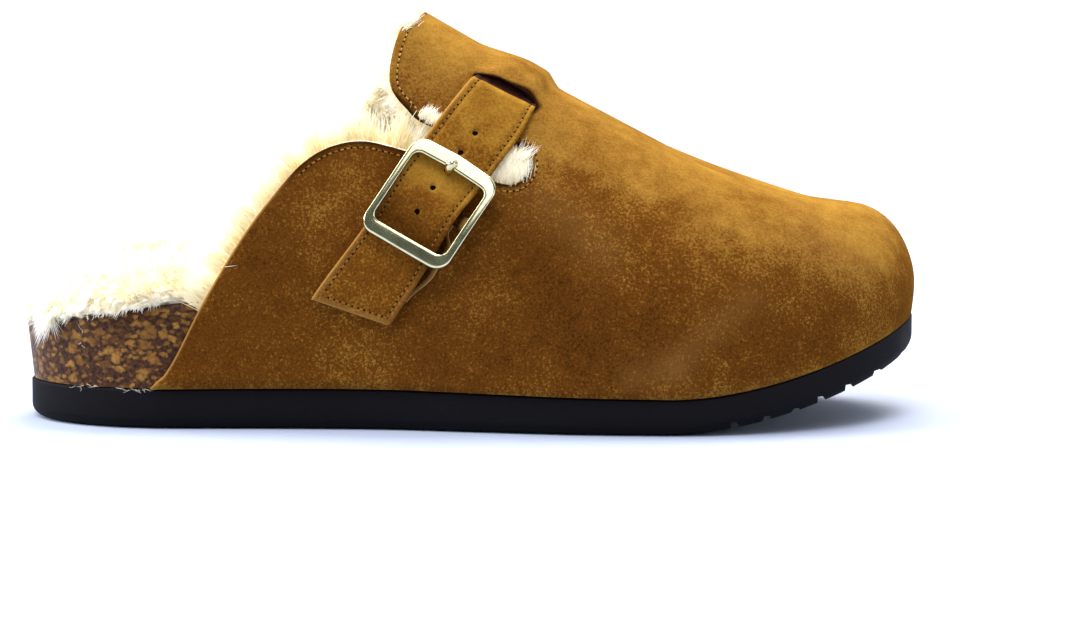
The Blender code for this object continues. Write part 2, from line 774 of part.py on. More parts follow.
def bench_tube(name, rows, cutters):
    """Closed tool from bench sections, laid on the outer face"""
    laid = [[in_shoe(lay(*point)) for point in row] for row in rows]
    return add_object(name, loft(laid, caps=True), cutters)


def band_rows(half):
    """Raised wall over the hidden strap, sloping off at its sides and inner end"""
    rows = []
    for i in range(BAND_STEPS + 1):
        t = SLOT_T + (BAND_END_T - SLOT_T) * i / BAND_STEPS
        height = BAND_HEIGHT - BAND_DIVE * ease(t, BAND_FADE_T, BAND_END_T)
        under = -UPPER_WALL / 2
        top = [(b, t, height) for b in (half, half / 3, -half / 3, -half)]
        foot = [(b, t, under) for b in (-half - BAND_FALL, -half / 3, half / 3, half + BAND_FALL)]
        rows.append(top + foot)
    return rows


def channel_rows(half):
    """Room for the hidden strap under the band, open through the wall at the slot"""
    rows = []
    start, end = SLOT_T - SLOT_LENGTH, BAND_FADE_T
    for i in range(CHANNEL_STEPS + 1):
        t = start + (end - start) * i / CHANNEL_STEPS
        top = [(b, t, CHANNEL_ROOF) for b in (half, half / 3, -half / 3, -half)]
        foot = [(b, t, -UPPER_WALL - CHANNEL_UNDER) for b in (-half, -half / 3, half / 3, half)]
        rows.append(top + foot)
    return rows


def side_spot(side, x, z):
    """Station and angle where one side of the outer face passes x and z in side view"""
    s = 1 + (x - HEEL_CENTRE_X) / (side.ball_x - HEEL_CENTRE_X)
    for _ in range(6):
        rim_x, _ = outline(s, side)
        lean = section_lean(s, side, z - sole_top(rim_x))
        angle = lean if side is LATERAL else 180 - lean
        s += (x - surface(s, angle).x) / (side.ball_x - HEEL_CENTRE_X)
    return s, angle


def build_lining(parts, cutters):
    """Shearling inside the upper, from above the footbed's rim, with locks along the collar"""
    rows = []
    for s in stations(*LINING_STEPS, LINING_START):
        lean = []
        for side in (LATERAL, MEDIAL):
            rim_x, _ = outline(s, side)
            lean.append(section_lean(s, side, smooth(CORK, rim_x, side.name) + LINING_FOOT))
        row = []
        for k in range(LINING_COLUMNS + 1):
            angle = lean[0] + (180 - lean[1] - lean[0]) * k / LINING_COLUMNS
            if s == 3:
                angle = min(angle, 180 - angle)
            point, normal, _, _ = surface_frame(s, angle)
            row.append(in_shoe(point - normal * (UPPER_WALL + LINING_GAP)))
        rows.append(row)
    lining = add_object("fur_lining", loft(rows, closed=False), parts)
    pile = lining.modifiers.new("pile", "SOLIDIFY")
    pile.thickness = LINING_PILE * MM
    pile.offset = -1.0
    outer_rows = proud_rows(QUARTER_EDGE[:LINING_QUARTER_ROWS] + FLAP_EDGE[LINING_FLAP_FROM:])
    inner_rows = proud_rows(INNER_EDGE)
    cut(lining, side_cutter("outer_fur_collar", outer_rows, LATERAL, cutters))
    cut(lining, side_cutter("inner_fur_collar", inner_rows, MEDIAL, cutters))
    dice = random.Random(8)
    locks = bmesh.new()
    for side, edge in ((LATERAL, outer_rows), (MEDIAL, inner_rows)):
        for before, after in zip(edge[COLLAR_LOCKS_FROM:-1], edge[COLLAR_LOCKS_FROM + 1 :]):
            x, z = (before.x + after.x) / 2, (before.z + after.z) / 2
            point, normal, _, _ = surface_frame(*side_spot(side, x, z))
            away = Vector((before.z - after.z, 0.0, after.x - before.x)).normalized()
            depth = UPPER_WALL + LINING_GAP + LINING_PILE * COLLAR_LOCK_SHARE
            root = point - normal * depth - away * COLLAR_LOCK_DEPTH
            grow = (away - normal * dice.uniform(0.0, COLLAR_LOCK_LEAN)).normalized()
            add_lock(locks, root, grow, LOCK_LENGTH * dice.uniform(0.8, 1.15))
    cut(lining, add_object("collar_locks", locks, cutters), "UNION")
    return lining


def bench_object(name, rows, cutters, caps=True):
    """Piece made flat on the bench, in strap sizes"""
    return add_object(name, loft([[Vector(p) * MM for p in row] for row in rows], caps=caps), cutters)


def strip_row(b_values, t_values, low, high):
    """Section of a flat strip between two heights"""
    under = [(b, t, low) for b, t in zip(b_values, t_values)]
    over = [(b, t, high) for b, t in zip(b_values, t_values)]
    return under + over[::-1]


def circle(radius):
    """Points round a small circle, as pairs"""
    turns = [2 * math.pi * k / PRONG_SIDES for k in range(PRONG_SIDES)]
    return [(radius * math.cos(turn), radius * math.sin(turn)) for turn in turns]


def prong_rows(radius, start, end):
    """Round sections along the prong, from one distance to another"""
    rows = []
    for i in range(PRONG_STEPS + 1):
        t = start + (end - start) * i / PRONG_STEPS
        height = smooth(PRONG, t, "height")
        rise = smooth(PRONG, t + 0.1, "height") - smooth(PRONG, t - 0.1, "height")
        tip = Vector((0.0, 0.2, rise)).normalized()
        over = Vector((0.0, -tip.z, tip.y))
        rows.append([Vector((u, t, height)) + over * v for u, v in circle(radius)])
    return rows


def build_strap(parts, cutters):
    """Suede strap from under the band, out of the slot, through the buckle to its slanted tail"""
    tail, end = STRAP[0].x, BAND_FADE_T - STRAP_END_GAP
    count = round((end - tail) / STRAP_STEP)
    across = [STRAP_WIDTH * (k / STRAP_COLUMNS - 0.5) for k in range(STRAP_COLUMNS + 1)]
    rows = []
    for i in range(count + 1):
        t = tail + (end - tail) * i / count
        lift = smooth(STRAP, t, "lift")
        slant = TAIL_SLANT * (1 - ease(t, tail, tail + TAIL_SLANT_RUN))
        rows.append(strip_row(across, [t + slant * b for b in across], lift, lift + STRAP_THICKNESS))
    flat = bench_object("flat_strap", rows, cutters)
    for t in STRAP_HOLES:
        ring = circle(STRAP_HOLE_RADIUS)
        punch = [[(u, t + v, height) for u, v in ring] for height in (PUNCH_LOW, PUNCH_HIGH)]
        cut(flat, bench_object(f"strap_hole_{t}", punch, cutters))
    hole = prong_rows(PRONG_CLEARANCE, PRONG_HOLE_FROM, PRONG_HOLE_TO)
    cut(flat, bench_object("prong_hole", hole, cutters))
    return lay_on_shoe("strap", flat, parts)


def rounded_frame(half_width, half_length, corner):
    """Points round a rounded rectangle, with two more along each side bar"""
    points = []
    for b_sign, t_sign, start in ((1, 1, 0.0), (-1, 1, 90.0), (-1, -1, 180.0), (1, -1, 270.0)):
        for k in range(CORNER_POINTS):
            turn = math.radians(start + 90.0 * k / (CORNER_POINTS - 1))
            b = b_sign * (half_width - corner) + corner * math.cos(turn)
            points.append((b, t_sign * (half_length - corner) + corner * math.sin(turn)))
        if t_sign == b_sign * -1:
            points.append((b_sign * half_width, half_length / 3 * t_sign))
            points.append((b_sign * half_width, -half_length / 3 * t_sign))
    return points


def build_buckle_frame(parts, cutters):
    """Cast frame with its middle bar hung on two lugs and a notch for the prong's tip"""
    outer = rounded_frame(BUCKLE_HALF_WIDTH, BUCKLE_HALF_LENGTH, BUCKLE_CORNER)
    window = rounded_frame(WINDOW_HALF_WIDTH, WINDOW_HALF_LENGTH, WINDOW_CORNER)
    rows = []
    for out, inner in zip(outer, window):
        out, inner = Vector(out), Vector(inner)
        step = (inner - out).normalized() * BUCKLE_EDGE
        section = []
        for base, sign in ((out, 1), (inner, -1)):
            faces = ((0, BUCKLE_UNDERSIDE + BUCKLE_EDGE), (0, BUCKLE_TOP - BUCKLE_EDGE), (1, BUCKLE_TOP))
            if sign < 0:
                faces = ((1, BUCKLE_TOP),) + faces[1::-1]
            corner = [(base + step * sign * k, n) for k, n in faces]
            section += [(spot.x, spot.y, n) for spot, n in corner]
        under_in, under_out = inner - step, out + step
        section.append((under_in.x, under_in.y, BUCKLE_UNDERSIDE))
        section.append((under_out.x, under_out.y, BUCKLE_UNDERSIDE))
        rows.append(section)
    frame = bench_object("flat_frame", rows + rows[:1], cutters, caps=False)
    side_middle = (BUCKLE_HALF_WIDTH + WINDOW_HALF_WIDTH) / 2
    bar = []
    for k in range(5):
        b = side_middle * (k / 2 - 1)
        bar.append([(b, u, BAR_HEIGHT + v) for u, v in circle(BAR_RADIUS)])
    cut(frame, bench_object("middle_bar", bar, cutters), "UNION")
    for sign in (-1, 1):
        lug = []
        for b in (WINDOW_HALF_WIDTH + LUG_INSET, BUCKLE_HALF_WIDTH - LUG_INSET):
            low, high = BAR_HEIGHT - BAR_RADIUS - LUG_INSET, BUCKLE_UNDERSIDE + 2 * BUCKLE_EDGE
            corners = ((-1, low), (1, low), (1, high), (-1, high))
            lug.append([(sign * b, LUG_HALF_LENGTH * t, n) for t, n in corners])
        cut(frame, bench_object(f"lug_{sign}", lug, cutters), "UNION")
    notch = prong_rows(PRONG_CLEARANCE, TIP_NOTCH_FROM, TIP_NOTCH_TO)
    cut(frame, bench_object("tip_notch", notch, cutters))
    return lay_on_shoe("buckle_frame", frame, parts)


def build_buckle_prong(parts, cutters):
    """Prong with its ring round the middle bar, through the strap and on to the frame"""
    rows = []
    for k in range(PRONG_SIDES + 1):
        turn = 2 * math.pi * k / PRONG_SIDES
        section = []
        for radius, signs in ((PRONG_RING_RADIUS, (-1, 1)), (PRONG_RING_BORE, (1, -1))):
            t, n = radius * math.cos(turn), BAR_HEIGHT + radius * math.sin(turn)
            section += [(sign * PRONG_RING_WIDTH / 2, t, n) for sign in signs]
        rows.append(section)
    prong = bench_object("flat_prong", rows, cutters, caps=False)
    arm = prong_rows(PRONG_RADIUS, PRONG[0].x, PRONG[-1].x)
    cut(prong, bench_object("prong_arm", arm, cutters), "UNION")
    return lay_on_shoe("buckle_prong", prong, parts)


def build_buckle_tab(parts, cutters):
    """Suede tab sewn on the quarter and folded round the middle bar"""
    outer_radius = BAR_HEIGHT - GAP
    inner_radius = outer_radius - TAB_THICKNESS
    rows = []
    for k in range(TAB_LEAF_STEPS):
        t = TAB_LENGTH * (k / TAB_LEAF_STEPS - 1)
        wide = TAB_SHIFT * (1 - ease(t, TAB_SHIFT_FROM, TAB_SHIFT_TO))
        narrow = TAB_END_NARROW * (1 - ease(t, -TAB_LENGTH, TAB_END_RUN - TAB_LENGTH))
        low, high = narrow - TAB_HALF_WIDTH, TAB_HALF_WIDTH + wide - narrow
        across = [low + (high - low) * i / 3 for i in range(4)]
        rows.append(strip_row(across, [t] * 4, GAP, GAP + TAB_THICKNESS))
    across = [TAB_HALF_WIDTH * (2 * i / 3 - 1) for i in range(4)]
    for k in range(TAB_LOOP_STEPS + 1):
        turn = math.radians(-90.0 + TAB_WRAP * k / TAB_LOOP_STEPS)
        section = []
        for radius, order in ((outer_radius, across), (inner_radius, across[::-1])):
            t, n = radius * math.cos(turn), BAR_HEIGHT + radius * math.sin(turn)
            section += [(b, t, n) for b in order]
        rows.append(section)
    tab = bench_object("flat_tab", rows, cutters)
    wide, long = TAB_SLOT_HALF_WIDTH, TAB_SLOT_HALF_LENGTH
    corners = ((-wide, -long), (wide, -long), (wide, long), (-wide, long))
    slot = [[(b, t, height) for b, t in corners] for height in (PUNCH_LOW, PUNCH_HIGH)]
    cut(tab, bench_object("tab_slot", slot, cutters))
    return lay_on_shoe("buckle_tab", tab, parts)


def finish(piece, colour, roughness, metallic=0.0):
    """Give the piece a plain finish of its own colour, an sRGB hex value"""
    linear = []
    for k in (1, 3, 5):
        value = int(colour[k : k + 2], 16) / 255
        linear.append(value / 12.92 if value <= 0.04045 else ((value + 0.055) / 1.055) ** 2.4)
    material = bpy.data.materials.new(f"{piece.name}_finish")
    material.use_nodes = True
    shader = material.node_tree.nodes["Principled BSDF"]
    shader.inputs["Base Color"].default_value = (*linear, 1.0)
    shader.inputs["Roughness"].default_value = roughness
    shader.inputs["Metallic"].default_value = metallic
    piece.data.materials.append(material)


def main():
    for old in list(bpy.data.objects):
        bpy.data.objects.remove(old)
    parts = bpy.data.collections.new("suede_clog_slipper")
    cutters = bpy.data.collections.new("cutters")
    for group in (parts, cutters):
        bpy.context.scene.collection.children.link(group)
    origin = bpy.data.objects.new("slipper_origin", None)
    parts.objects.link(origin)
    finishes = (
        (build_outsole, "#1B191C", 0.75, 0.0),
        (build_cork_footbed, "#6B4226", 0.55, 0.0),
        (build_insole, "#F1E8D2", 0.95, 0.0),
        (build_lining, "#F1E8D2", 0.95, 0.0),
        (build_upper, "#9A651F", 0.9, 0.0),
        (build_strap, "#9A651F", 0.9, 0.0),
        (build_buckle_tab, "#8A571A", 0.9, 0.0),
        (build_buckle_frame, "#C9BE9A", 0.25, 1.0),
        (build_buckle_prong, "#C9BE9A", 0.25, 1.0),
    )
    for build, colour, roughness, metallic in finishes:
        piece = build(parts, cutters)
        finish(piece, colour, roughness, metallic)
        piece.parent = origin


if __name__ == "__main__":
    main()
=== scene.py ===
"""Right-foot suede clog slipper with shearling, cork footbed and a buckled strap."""
import math
from collections import namedtuple
from functools import lru_cache

import bmesh
import bpy
import numpy as np
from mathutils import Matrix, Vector, kdtree, noise

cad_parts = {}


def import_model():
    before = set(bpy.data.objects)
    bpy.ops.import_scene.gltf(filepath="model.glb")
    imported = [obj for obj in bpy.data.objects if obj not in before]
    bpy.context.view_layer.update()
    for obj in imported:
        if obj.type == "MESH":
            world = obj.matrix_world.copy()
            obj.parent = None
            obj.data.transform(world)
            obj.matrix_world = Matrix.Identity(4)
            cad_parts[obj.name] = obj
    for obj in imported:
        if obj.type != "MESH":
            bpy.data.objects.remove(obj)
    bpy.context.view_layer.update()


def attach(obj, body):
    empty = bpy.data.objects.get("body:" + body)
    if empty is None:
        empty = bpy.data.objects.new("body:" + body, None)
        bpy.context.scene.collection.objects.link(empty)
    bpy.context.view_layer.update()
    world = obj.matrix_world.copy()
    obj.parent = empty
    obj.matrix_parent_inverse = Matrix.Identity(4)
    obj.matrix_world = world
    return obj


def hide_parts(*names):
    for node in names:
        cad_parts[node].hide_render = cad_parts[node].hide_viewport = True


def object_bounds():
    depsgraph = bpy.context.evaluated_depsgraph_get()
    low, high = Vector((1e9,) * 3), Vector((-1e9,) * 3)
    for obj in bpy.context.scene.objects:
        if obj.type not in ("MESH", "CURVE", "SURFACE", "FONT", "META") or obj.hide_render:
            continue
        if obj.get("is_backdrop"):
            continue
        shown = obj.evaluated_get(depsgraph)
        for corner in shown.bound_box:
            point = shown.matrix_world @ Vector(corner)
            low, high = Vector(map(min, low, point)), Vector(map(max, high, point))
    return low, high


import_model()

# Outsole: one moulded slab of black EVA foam, glued under the footbed.
# Its lower edge is rounded, its toe springs off the floor, and zigzag grooves
# are moulded across it; those under the toe run out through the edge.
# Sizes are in millimetres: x from the back of the heel, +y to the inner side, z from the floor.
MM = 0.001
SOLE_LENGTH = 258.5
HEEL_CENTRE_X = 45.0
HEEL_HALF_WIDTH = 33.2
HEEL_SPINE_X = 25.0
TOE_SPINE_X = 235.0
TOE_TIP_Y = 8.0
TOE_SPRING = 19.5
TOE_SPRING_POWER = 1.7
SOLE_EDGE_ROUND = 3.6


def table(fields, *rows):
    """Rows of a piece's sizes, each value by the name of its field"""
    row_of = namedtuple("Row", fields)
    return [row_of(*row) for row in rows]


LATERAL, MEDIAL = table("sign name ball_x toe_power", (-1, "lateral", 185.0, 2.0), (1, "medial", 195.0, 2.3))
PLAN = table(
    "x lateral medial",
    (40.0, 33.2, 33.2), (45.0, 33.2, 33.2), (78.0, 33.6, 31.4), (105.0, 35.5, 29.5), (130.0, 40.5, 32.0),
    (158.0, 45.6, 40.0), (185.0, 47.5, 46.0), (195.0, 47.5, 46.5), (200.0, 47.5, 46.5),
)
SOLE = table("x thickness", (0.0, 11.0), (100.0, 11.6), (170.0, 10.4), (258.5, 9.5))
TREAD = table(
    "start pitch count edge_margin",
    (17.0, 13.5, 7, 7.0), (155.0, 12.0, 4, 7.0), (204.0, 8.4, 7, -6.0),
)
GROOVE_WIDTH = 3.0
GROOVE_DEPTH = 2.0
GROOVE_ZIGZAG = 2.2
GROOVE_BENDS = 5
RIDGE = table(
    "x y z power",
    (35.0, 0.0, 163.0, 2.0), (75.0, 0.5, 140.5, 2.0), (115.0, 2.0, 117.6, 2.0), (135.0, 2.6, 106.0, 2.0),
    (155.0, 3.1, 94.5, 2.05), (168.0, 3.4, 87.5, 2.1), (181.0, 3.8, 80.4, 2.2), (194.0, 4.2, 73.4, 2.25),
    (207.0, 4.8, 67.5, 2.3), (216.0, 5.3, 64.2, 2.35), (225.0, 5.7, 62.9, 2.4), (235.0, 6.2, 62.0, 2.4),
)


def smooth(rows, x, column):
    """Cubic curve through one column of a table, level beyond its ends"""
    x = min(max(x, rows[0].x), rows[-1].x)
    low = next(k for k in range(len(rows) - 1) if x <= rows[k + 1].x)
    before, start, end, after = (
        rows[max(low - 1, 0)], rows[low], rows[low + 1], rows[min(low + 2, len(rows) - 1)],
    )
    p, q = getattr(start, column), getattr(end, column)
    span = end.x - start.x
    leave = (q - getattr(before, column)) / (end.x - before.x) * span
    arrive = (getattr(after, column) - p) / (after.x - start.x) * span
    t = (x - start.x) / span
    return p + (q - p) * t * t * (3 - 2 * t) + t * (1 - t) ** 2 * leave + t * t * (t - 1) * arrive


def ease(value, low, high):
    """Soft step from 0 at low to 1 at high, for a number or an array"""
    t = np.clip((value - low) / (high - low), 0.0, 1.0)
    return t * t * (3 - 2 * t)


def sole_bottom(x):
    """Underside: flat to the ball, then the toe spring"""
    run = max(x - LATERAL.ball_x, 0.0) / (SOLE_LENGTH - LATERAL.ball_x)
    return TOE_SPRING * run**TOE_SPRING_POWER


def sole_top(x):
    """Face that carries the footbed and the upper's edge"""
    return sole_bottom(x) + smooth(SOLE, x, "thickness")


def outline(s, side, outset=0.0):
    """Plan outline at station s: 0 heel back, 1 heel's widest, 2 ball, 3 toe tip"""
    if s <= 1:
        turn = s * math.pi / 2
        x = HEEL_CENTRE_X - (HEEL_CENTRE_X + outset) * math.cos(turn)
        return x, side.sign * (HEEL_HALF_WIDTH + outset) * math.sin(turn)
    if s <= 2:
        x = HEEL_CENTRE_X + (s - 1) * (side.ball_x - HEEL_CENTRE_X)
        return x, side.sign * (smooth(PLAN, x, side.name) + outset)
    turn = min(s - 2, 1.0) * math.pi / 2
    power = 2 / side.toe_power
    reach = SOLE_LENGTH - side.ball_x + outset
    half = smooth(PLAN, side.ball_x, side.name) - side.sign * TOE_TIP_Y + outset
    x = side.ball_x + reach * math.sin(turn) ** power
    return x, TOE_TIP_Y + side.sign * half * max(math.cos(turn), 0.0) ** power


def spine(s):
    """Point of the middle line over station s"""
    if s <= 1:
        x = HEEL_SPINE_X + s * (HEEL_CENTRE_X - HEEL_SPINE_X)
    elif s <= 2:
        x = HEEL_CENTRE_X + (s - 1) * (LATERAL.ball_x - HEEL_CENTRE_X)
    else:
        x = LATERAL.ball_x + (s - 2) * (TOE_SPINE_X - LATERAL.ball_x)
    return x, smooth(RIDGE, x, "y")


def stations(heel_steps, middle_steps, toe_steps, start=0.0):
    """Stations from start to the toe tip, evenly spaced in each stretch"""
    heel = np.linspace(start, 1, heel_steps, endpoint=False)
    middle = np.linspace(1, 2, middle_steps, endpoint=False)
    return [float(s) for s in (*heel, *middle, *np.linspace(2, 3, toe_steps + 1))]


def world(points):
    """Millimetres from the heel to metres about the sole's middle"""
    return (np.asarray(points, float) - (SOLE_LENGTH / 2, 0.0, 0.0)) * MM


def rows_to_faces(rows, columns, closed=False):
    """Four-sided faces between rows of points"""
    faces = []
    for r in range(rows - 1):
        for i in range(columns if closed else columns - 1):
            j = (i + 1) % columns
            faces.append((r * columns + i, r * columns + j, (r + 1) * columns + j, (r + 1) * columns + i))
    return faces


def tube_faces(rows, columns):
    """Faces of a tube of closed rows, with its two ends"""
    ends = [tuple(range(columns - 1, -1, -1)), tuple(range(columns * (rows - 1), columns * rows))]
    return rows_to_faces(rows, columns, True) + ends


def stand(name, data, *materials):
    """Object for a mesh, lamp or lens, put in the scene"""
    for material in materials:
        data.materials.append(material)
    piece = bpy.data.objects.new(name, data)
    bpy.context.scene.collection.objects.link(piece)
    return piece


def new_piece(name, points, faces, *materials, sharp=40.0):
    """Object from millimetre points, welded, its faces turned outwards"""
    data = bpy.data.meshes.new(name)
    data.from_pydata(world(points).tolist(), [], faces)
    mesh = bmesh.new()
    mesh.from_mesh(data)
    bmesh.ops.remove_doubles(mesh, verts=mesh.verts, dist=0.01 * MM)
    bmesh.ops.recalc_face_normals(mesh, faces=mesh.faces)
    mesh.to_mesh(data)
    mesh.free()
    data.shade_smooth()
    data.set_sharp_from_angle(angle=math.radians(sharp))
    return stand(name, data, *materials)


def settle(piece):
    """Work the piece's modifiers into its mesh"""
    graph = bpy.context.evaluated_depsgraph_get()
    made = bpy.data.meshes.new_from_object(piece.evaluated_get(graph))
    piece.modifiers.clear()
    piece.data = made


def fasten(piece, slot, *nodes):
    """The piece rides with the shoe and stands for its solids"""
    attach(piece, "root")
    if nodes:
        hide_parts(*nodes)


def paint(colour):
    """Linear colour of an sRGB hex value"""
    parts = [int(colour[k : k + 2], 16) / 255 for k in (1, 3, 5)]
    return (*[c / 12.92 if c <= 0.04045 else ((c + 0.055) / 1.055) ** 2.4 for c in parts], 1.0)


def new_material(name):
    """Material with its shader, and the tree they stand in"""
    material = bpy.data.materials.new(name)
    material.use_nodes = True
    return material, material.node_tree, material.node_tree.nodes["Principled BSDF"]


def add_node(tree, kind, links=(), stops=(), **settings):
    """One shader node, new or already there: links by socket, ramp stops, settings by name or socket"""
    node = tree.nodes.new(kind) if isinstance(kind, str) else kind
    for name, value in settings.items():
        if hasattr(node, name):
            setattr(node, name, value)
        else:
            node.inputs[name.replace("_", " ")].default_value = value
    for place, colour in stops:
        ramp = node.color_ramp.elements
        ends = {stops[0][0]: 0, stops[-1][0]: len(ramp) - 1}
        stop = ramp[ends[place]] if place in ends else ramp.new(place)
        stop.position = place
        stop.color = paint(colour)
    for socket, source in dict(links).items():
        tree.links.new(source, node.inputs[socket])
    return node


def outsole_profile(s, side):
    """Section of the sole: flat faces, upright side, rounded edges"""
    middle_x, middle_y = spine(s)
    points = [(middle_x, middle_y, sole_bottom(middle_x))]
    for turn in np.linspace(0.0, 90.0, 7):
        inset = SOLE_EDGE_ROUND * (1 - math.sin(math.radians(turn)))
        lift = SOLE_EDGE_ROUND * (1 - math.cos(math.radians(turn)))
        x, y = outline(s, side, -inset)
        points.append((x, y, sole_bottom(x) + lift))
    x, y = outline(s, side)
    points += [(x, y, sole_top(x) - 3.0), (x, y, sole_top(x) - 0.5)]
    x, y = outline(s, side, -0.5)
    return points + [(x, y, sole_top(x)), (middle_x, middle_y, sole_top(middle_x))]


def pad_points(places, profile):
    """Rows of a closed form whose section runs under the foot, out and back over"""
    rows = [profile(s, LATERAL) + profile(s, MEDIAL)[-2:0:-1] for s in places]
    return [point for row in rows for point in row], rows_to_faces(len(rows), len(rows[0]), True)


def groove_half(x, margin):
    """Half length of a groove: the narrower side of the outline at x, less the margin"""
    halves = []
    for side in (LATERAL, MEDIAL):
        near = min(np.linspace(0, 3, 400), key=lambda s: abs(outline(s, side)[0] - x))
        halves.append(abs(outline(near, side, -margin)[1]))
    return min(halves)


# EVA foam, moulded: black, dull, with closed pores and a faint mottled skin
eva, tree, shader = new_material("eva_foam_moulded")
place = add_node(tree, "ShaderNodeTexCoord").outputs["Object"]
pores = add_node(tree, "ShaderNodeTexVoronoi", {"Vector": place}, Scale=1 / (0.7 * MM))
mottle = add_node(tree, "ShaderNodeTexNoise", {"Vector": place}, Scale=1 / (9 * MM), Detail=4.0)
shade = add_node(tree, "ShaderNodeValToRGB", {0: mottle.outputs[0]}, (
    (0.3, "#030206"), (0.55, "#050409"), (0.75, "#08070E")))
gloss = add_node(tree, "ShaderNodeMapRange", {0: mottle.outputs[0]}, To_Min=0.6, To_Max=0.85)
grain = add_node(tree, "ShaderNodeBump", {"Height": pores.outputs["Distance"]}, Strength=0.35, Distance=0.12 * MM)
swell = add_node(tree, "ShaderNodeBump", {"Height": mottle.outputs[0], "Normal": grain.outputs[0]},
                 Strength=0.5, Distance=0.5 * MM)
looks = {"Base Color": shade.outputs[0], "Roughness": gloss.outputs[0], "Normal": swell.outputs[0]}
add_node(tree, shader, looks, Specular_IOR_Level=0.12)

dice = np.random.default_rng(5)
outsole = new_piece("outsole_foam", *pad_points(stations(56, 80, 70), outsole_profile), eva, sharp=50.0)
points, faces = [], []
for row in TREAD:
    for i in range(row.count):
        x = row.start + i * row.pitch
        half = groove_half(x, row.edge_margin)
        wear, slope = dice.uniform(0.55, 1.0), dice.uniform(-0.7, 0.7)
        base = len(points)
        for k in range(GROOVE_BENDS):
            shift = x + GROOVE_ZIGZAG * (k % 2 - 0.5)
            for sign, drop in ((-1, 1), (1, 1), (1, -1), (-1, -1)):
                width = GROOVE_WIDTH * (1.2 if drop > 0 else 0.45)
                y = half * (2 * k / (GROOVE_BENDS - 1) - 1)
                x_at = shift + sign * width / 2 + (slope if drop < 0 else 0.0)
                points.append((x_at, y, sole_bottom(shift) - GROOVE_DEPTH * wear * drop))
        ring = rows_to_faces(GROOVE_BENDS, 4, True) + [(0, 1, 2, 3)]
        ring.append(tuple(4 * GROOVE_BENDS - 4 + k for k in range(4)))
        faces += [tuple(base + corner for corner in face) for face in ring]
grooves = new_piece("tread_grooves", points, faces, eva)
tread = outsole.modifiers.new("tread", "BOOLEAN")
tread.object = grooves
tread.solver = "EXACT"
settle(outsole)
bpy.data.objects.remove(grooves)
outsole.data.set_sharp_from_angle(angle=math.radians(40.0))
fasten(outsole, "outsole_foam", "outsole")

# Cork footbed: pressed cork granules in a dark binder, cupped at the heel and
# raised under the arch, sanded at the side, varnished, and glued on the sole.
GAP = 0.3
CORK = table(
    "x lateral medial centre low_outset high_outset",
    (0.0, 16.6, 16.6, 12.0, -0.7, 1.1), (23.0, 21.2, 21.5, 11.0, -0.8, 0.4),
    (46.0, 24.4, 25.0, 10.0, -1.0, -2.2), (70.0, 25.0, 27.0, 11.0, -1.0, -2.8),
    (100.0, 20.0, 27.0, 13.0, -1.0, -2.8), (130.0, 14.0, 20.0, 12.0, -1.0, -2.4),
    (160.0, 10.0, 13.0, 9.0, -1.2, -2.2), (190.0, 9.0, 9.5, 8.0, -1.8, -2.4),
    (225.0, 8.6, 8.6, 8.0, -2.9, -3.0), (258.5, 8.5, 8.5, 8.0, -2.9, -3.0),
)
CORK_DISH_POWER = 2.2
CORK_RIM_WIDTH = 3.0
GRANULE = 2.7


def cork_dish(s, side, fraction):
    """Top of the footbed between the middle line and the inside of its rim"""
    rim_x, _ = outline(s, side)
    inside_x, inside_y = outline(s, side, smooth(CORK, rim_x, "high_outset") - CORK_RIM_WIDTH)
    middle_x, middle_y = spine(s)
    x = middle_x + (inside_x - middle_x) * fraction
    y = middle_y + (inside_y - middle_y) * fraction
    middle_z = sole_top(middle_x) + smooth(CORK, middle_x, "centre")
    rim_z = sole_top(inside_x) + smooth(CORK, rim_x, side.name)
    return x, y, middle_z + (rim_z - middle_z) * fraction**CORK_DISH_POWER


def cork_profile(s, side):
    """Section of the footbed: flat under, sloping side, narrow rounded rim, dish"""
    middle_x, middle_y = spine(s)
    rim_x, _ = outline(s, side)
    low, high = smooth(CORK, rim_x, "low_outset"), smooth(CORK, rim_x, "high_outset")
    rise = smooth(CORK, rim_x, side.name)
    points = [(middle_x, middle_y, sole_top(middle_x) + GAP)]
    for share in (0.0, 0.03, 0.25, 0.5, 0.75, 0.95):
        x, y = outline(s, side, low + (high - low) * share)
        points.append((x, y, sole_top(x) + GAP + (rise - GAP) * share))
    x, y = outline(s, side, high - 0.8)
    points.append((x, y, sole_top(x) + rise))
    return points + [cork_dish(s, side, k / 8) for k in range(8, -1, -1)]


# Cork, pressed and varnished: ochre granules in a purple-brown binder under a thin clear gloss
cork, tree, shader = new_material("cork_pressed_varnished")
place = add_node(tree, "ShaderNodeTexCoord").outputs["Object"]
bend = add_node(tree, "ShaderNodeTexNoise", {"Vector": place}, Scale=1 / (2.5 * MM), Detail=3.0)
drift = add_node(tree, "ShaderNodeVectorMath", {0: bend.outputs["Color"]}, operation="SCALE", Scale=2.2 * MM)
spot = add_node(tree, "ShaderNodeVectorMath", {0: place, 1: drift.outputs[0]}, operation="ADD")
lie_and_painted_light = add_node(tree, "ShaderNodeMapping", {"Vector": spot.outputs[0]},
               Scale=(0.75, 0.75, 1.15), Rotation=(0.0, 0.35, 0.0))
crumb = add_node(tree, "ShaderNodeTexNoise", {"Vector": place}, Scale=1 / (1.0 * MM), Detail=4.0)
binder = add_node(tree, "ShaderNodeValToRGB", {0: crumb.outputs[0]}, ((0.35, "#22120B"), (0.65, "#482B19")))
made = binder.outputs[0]
height = crumb.outputs[0]
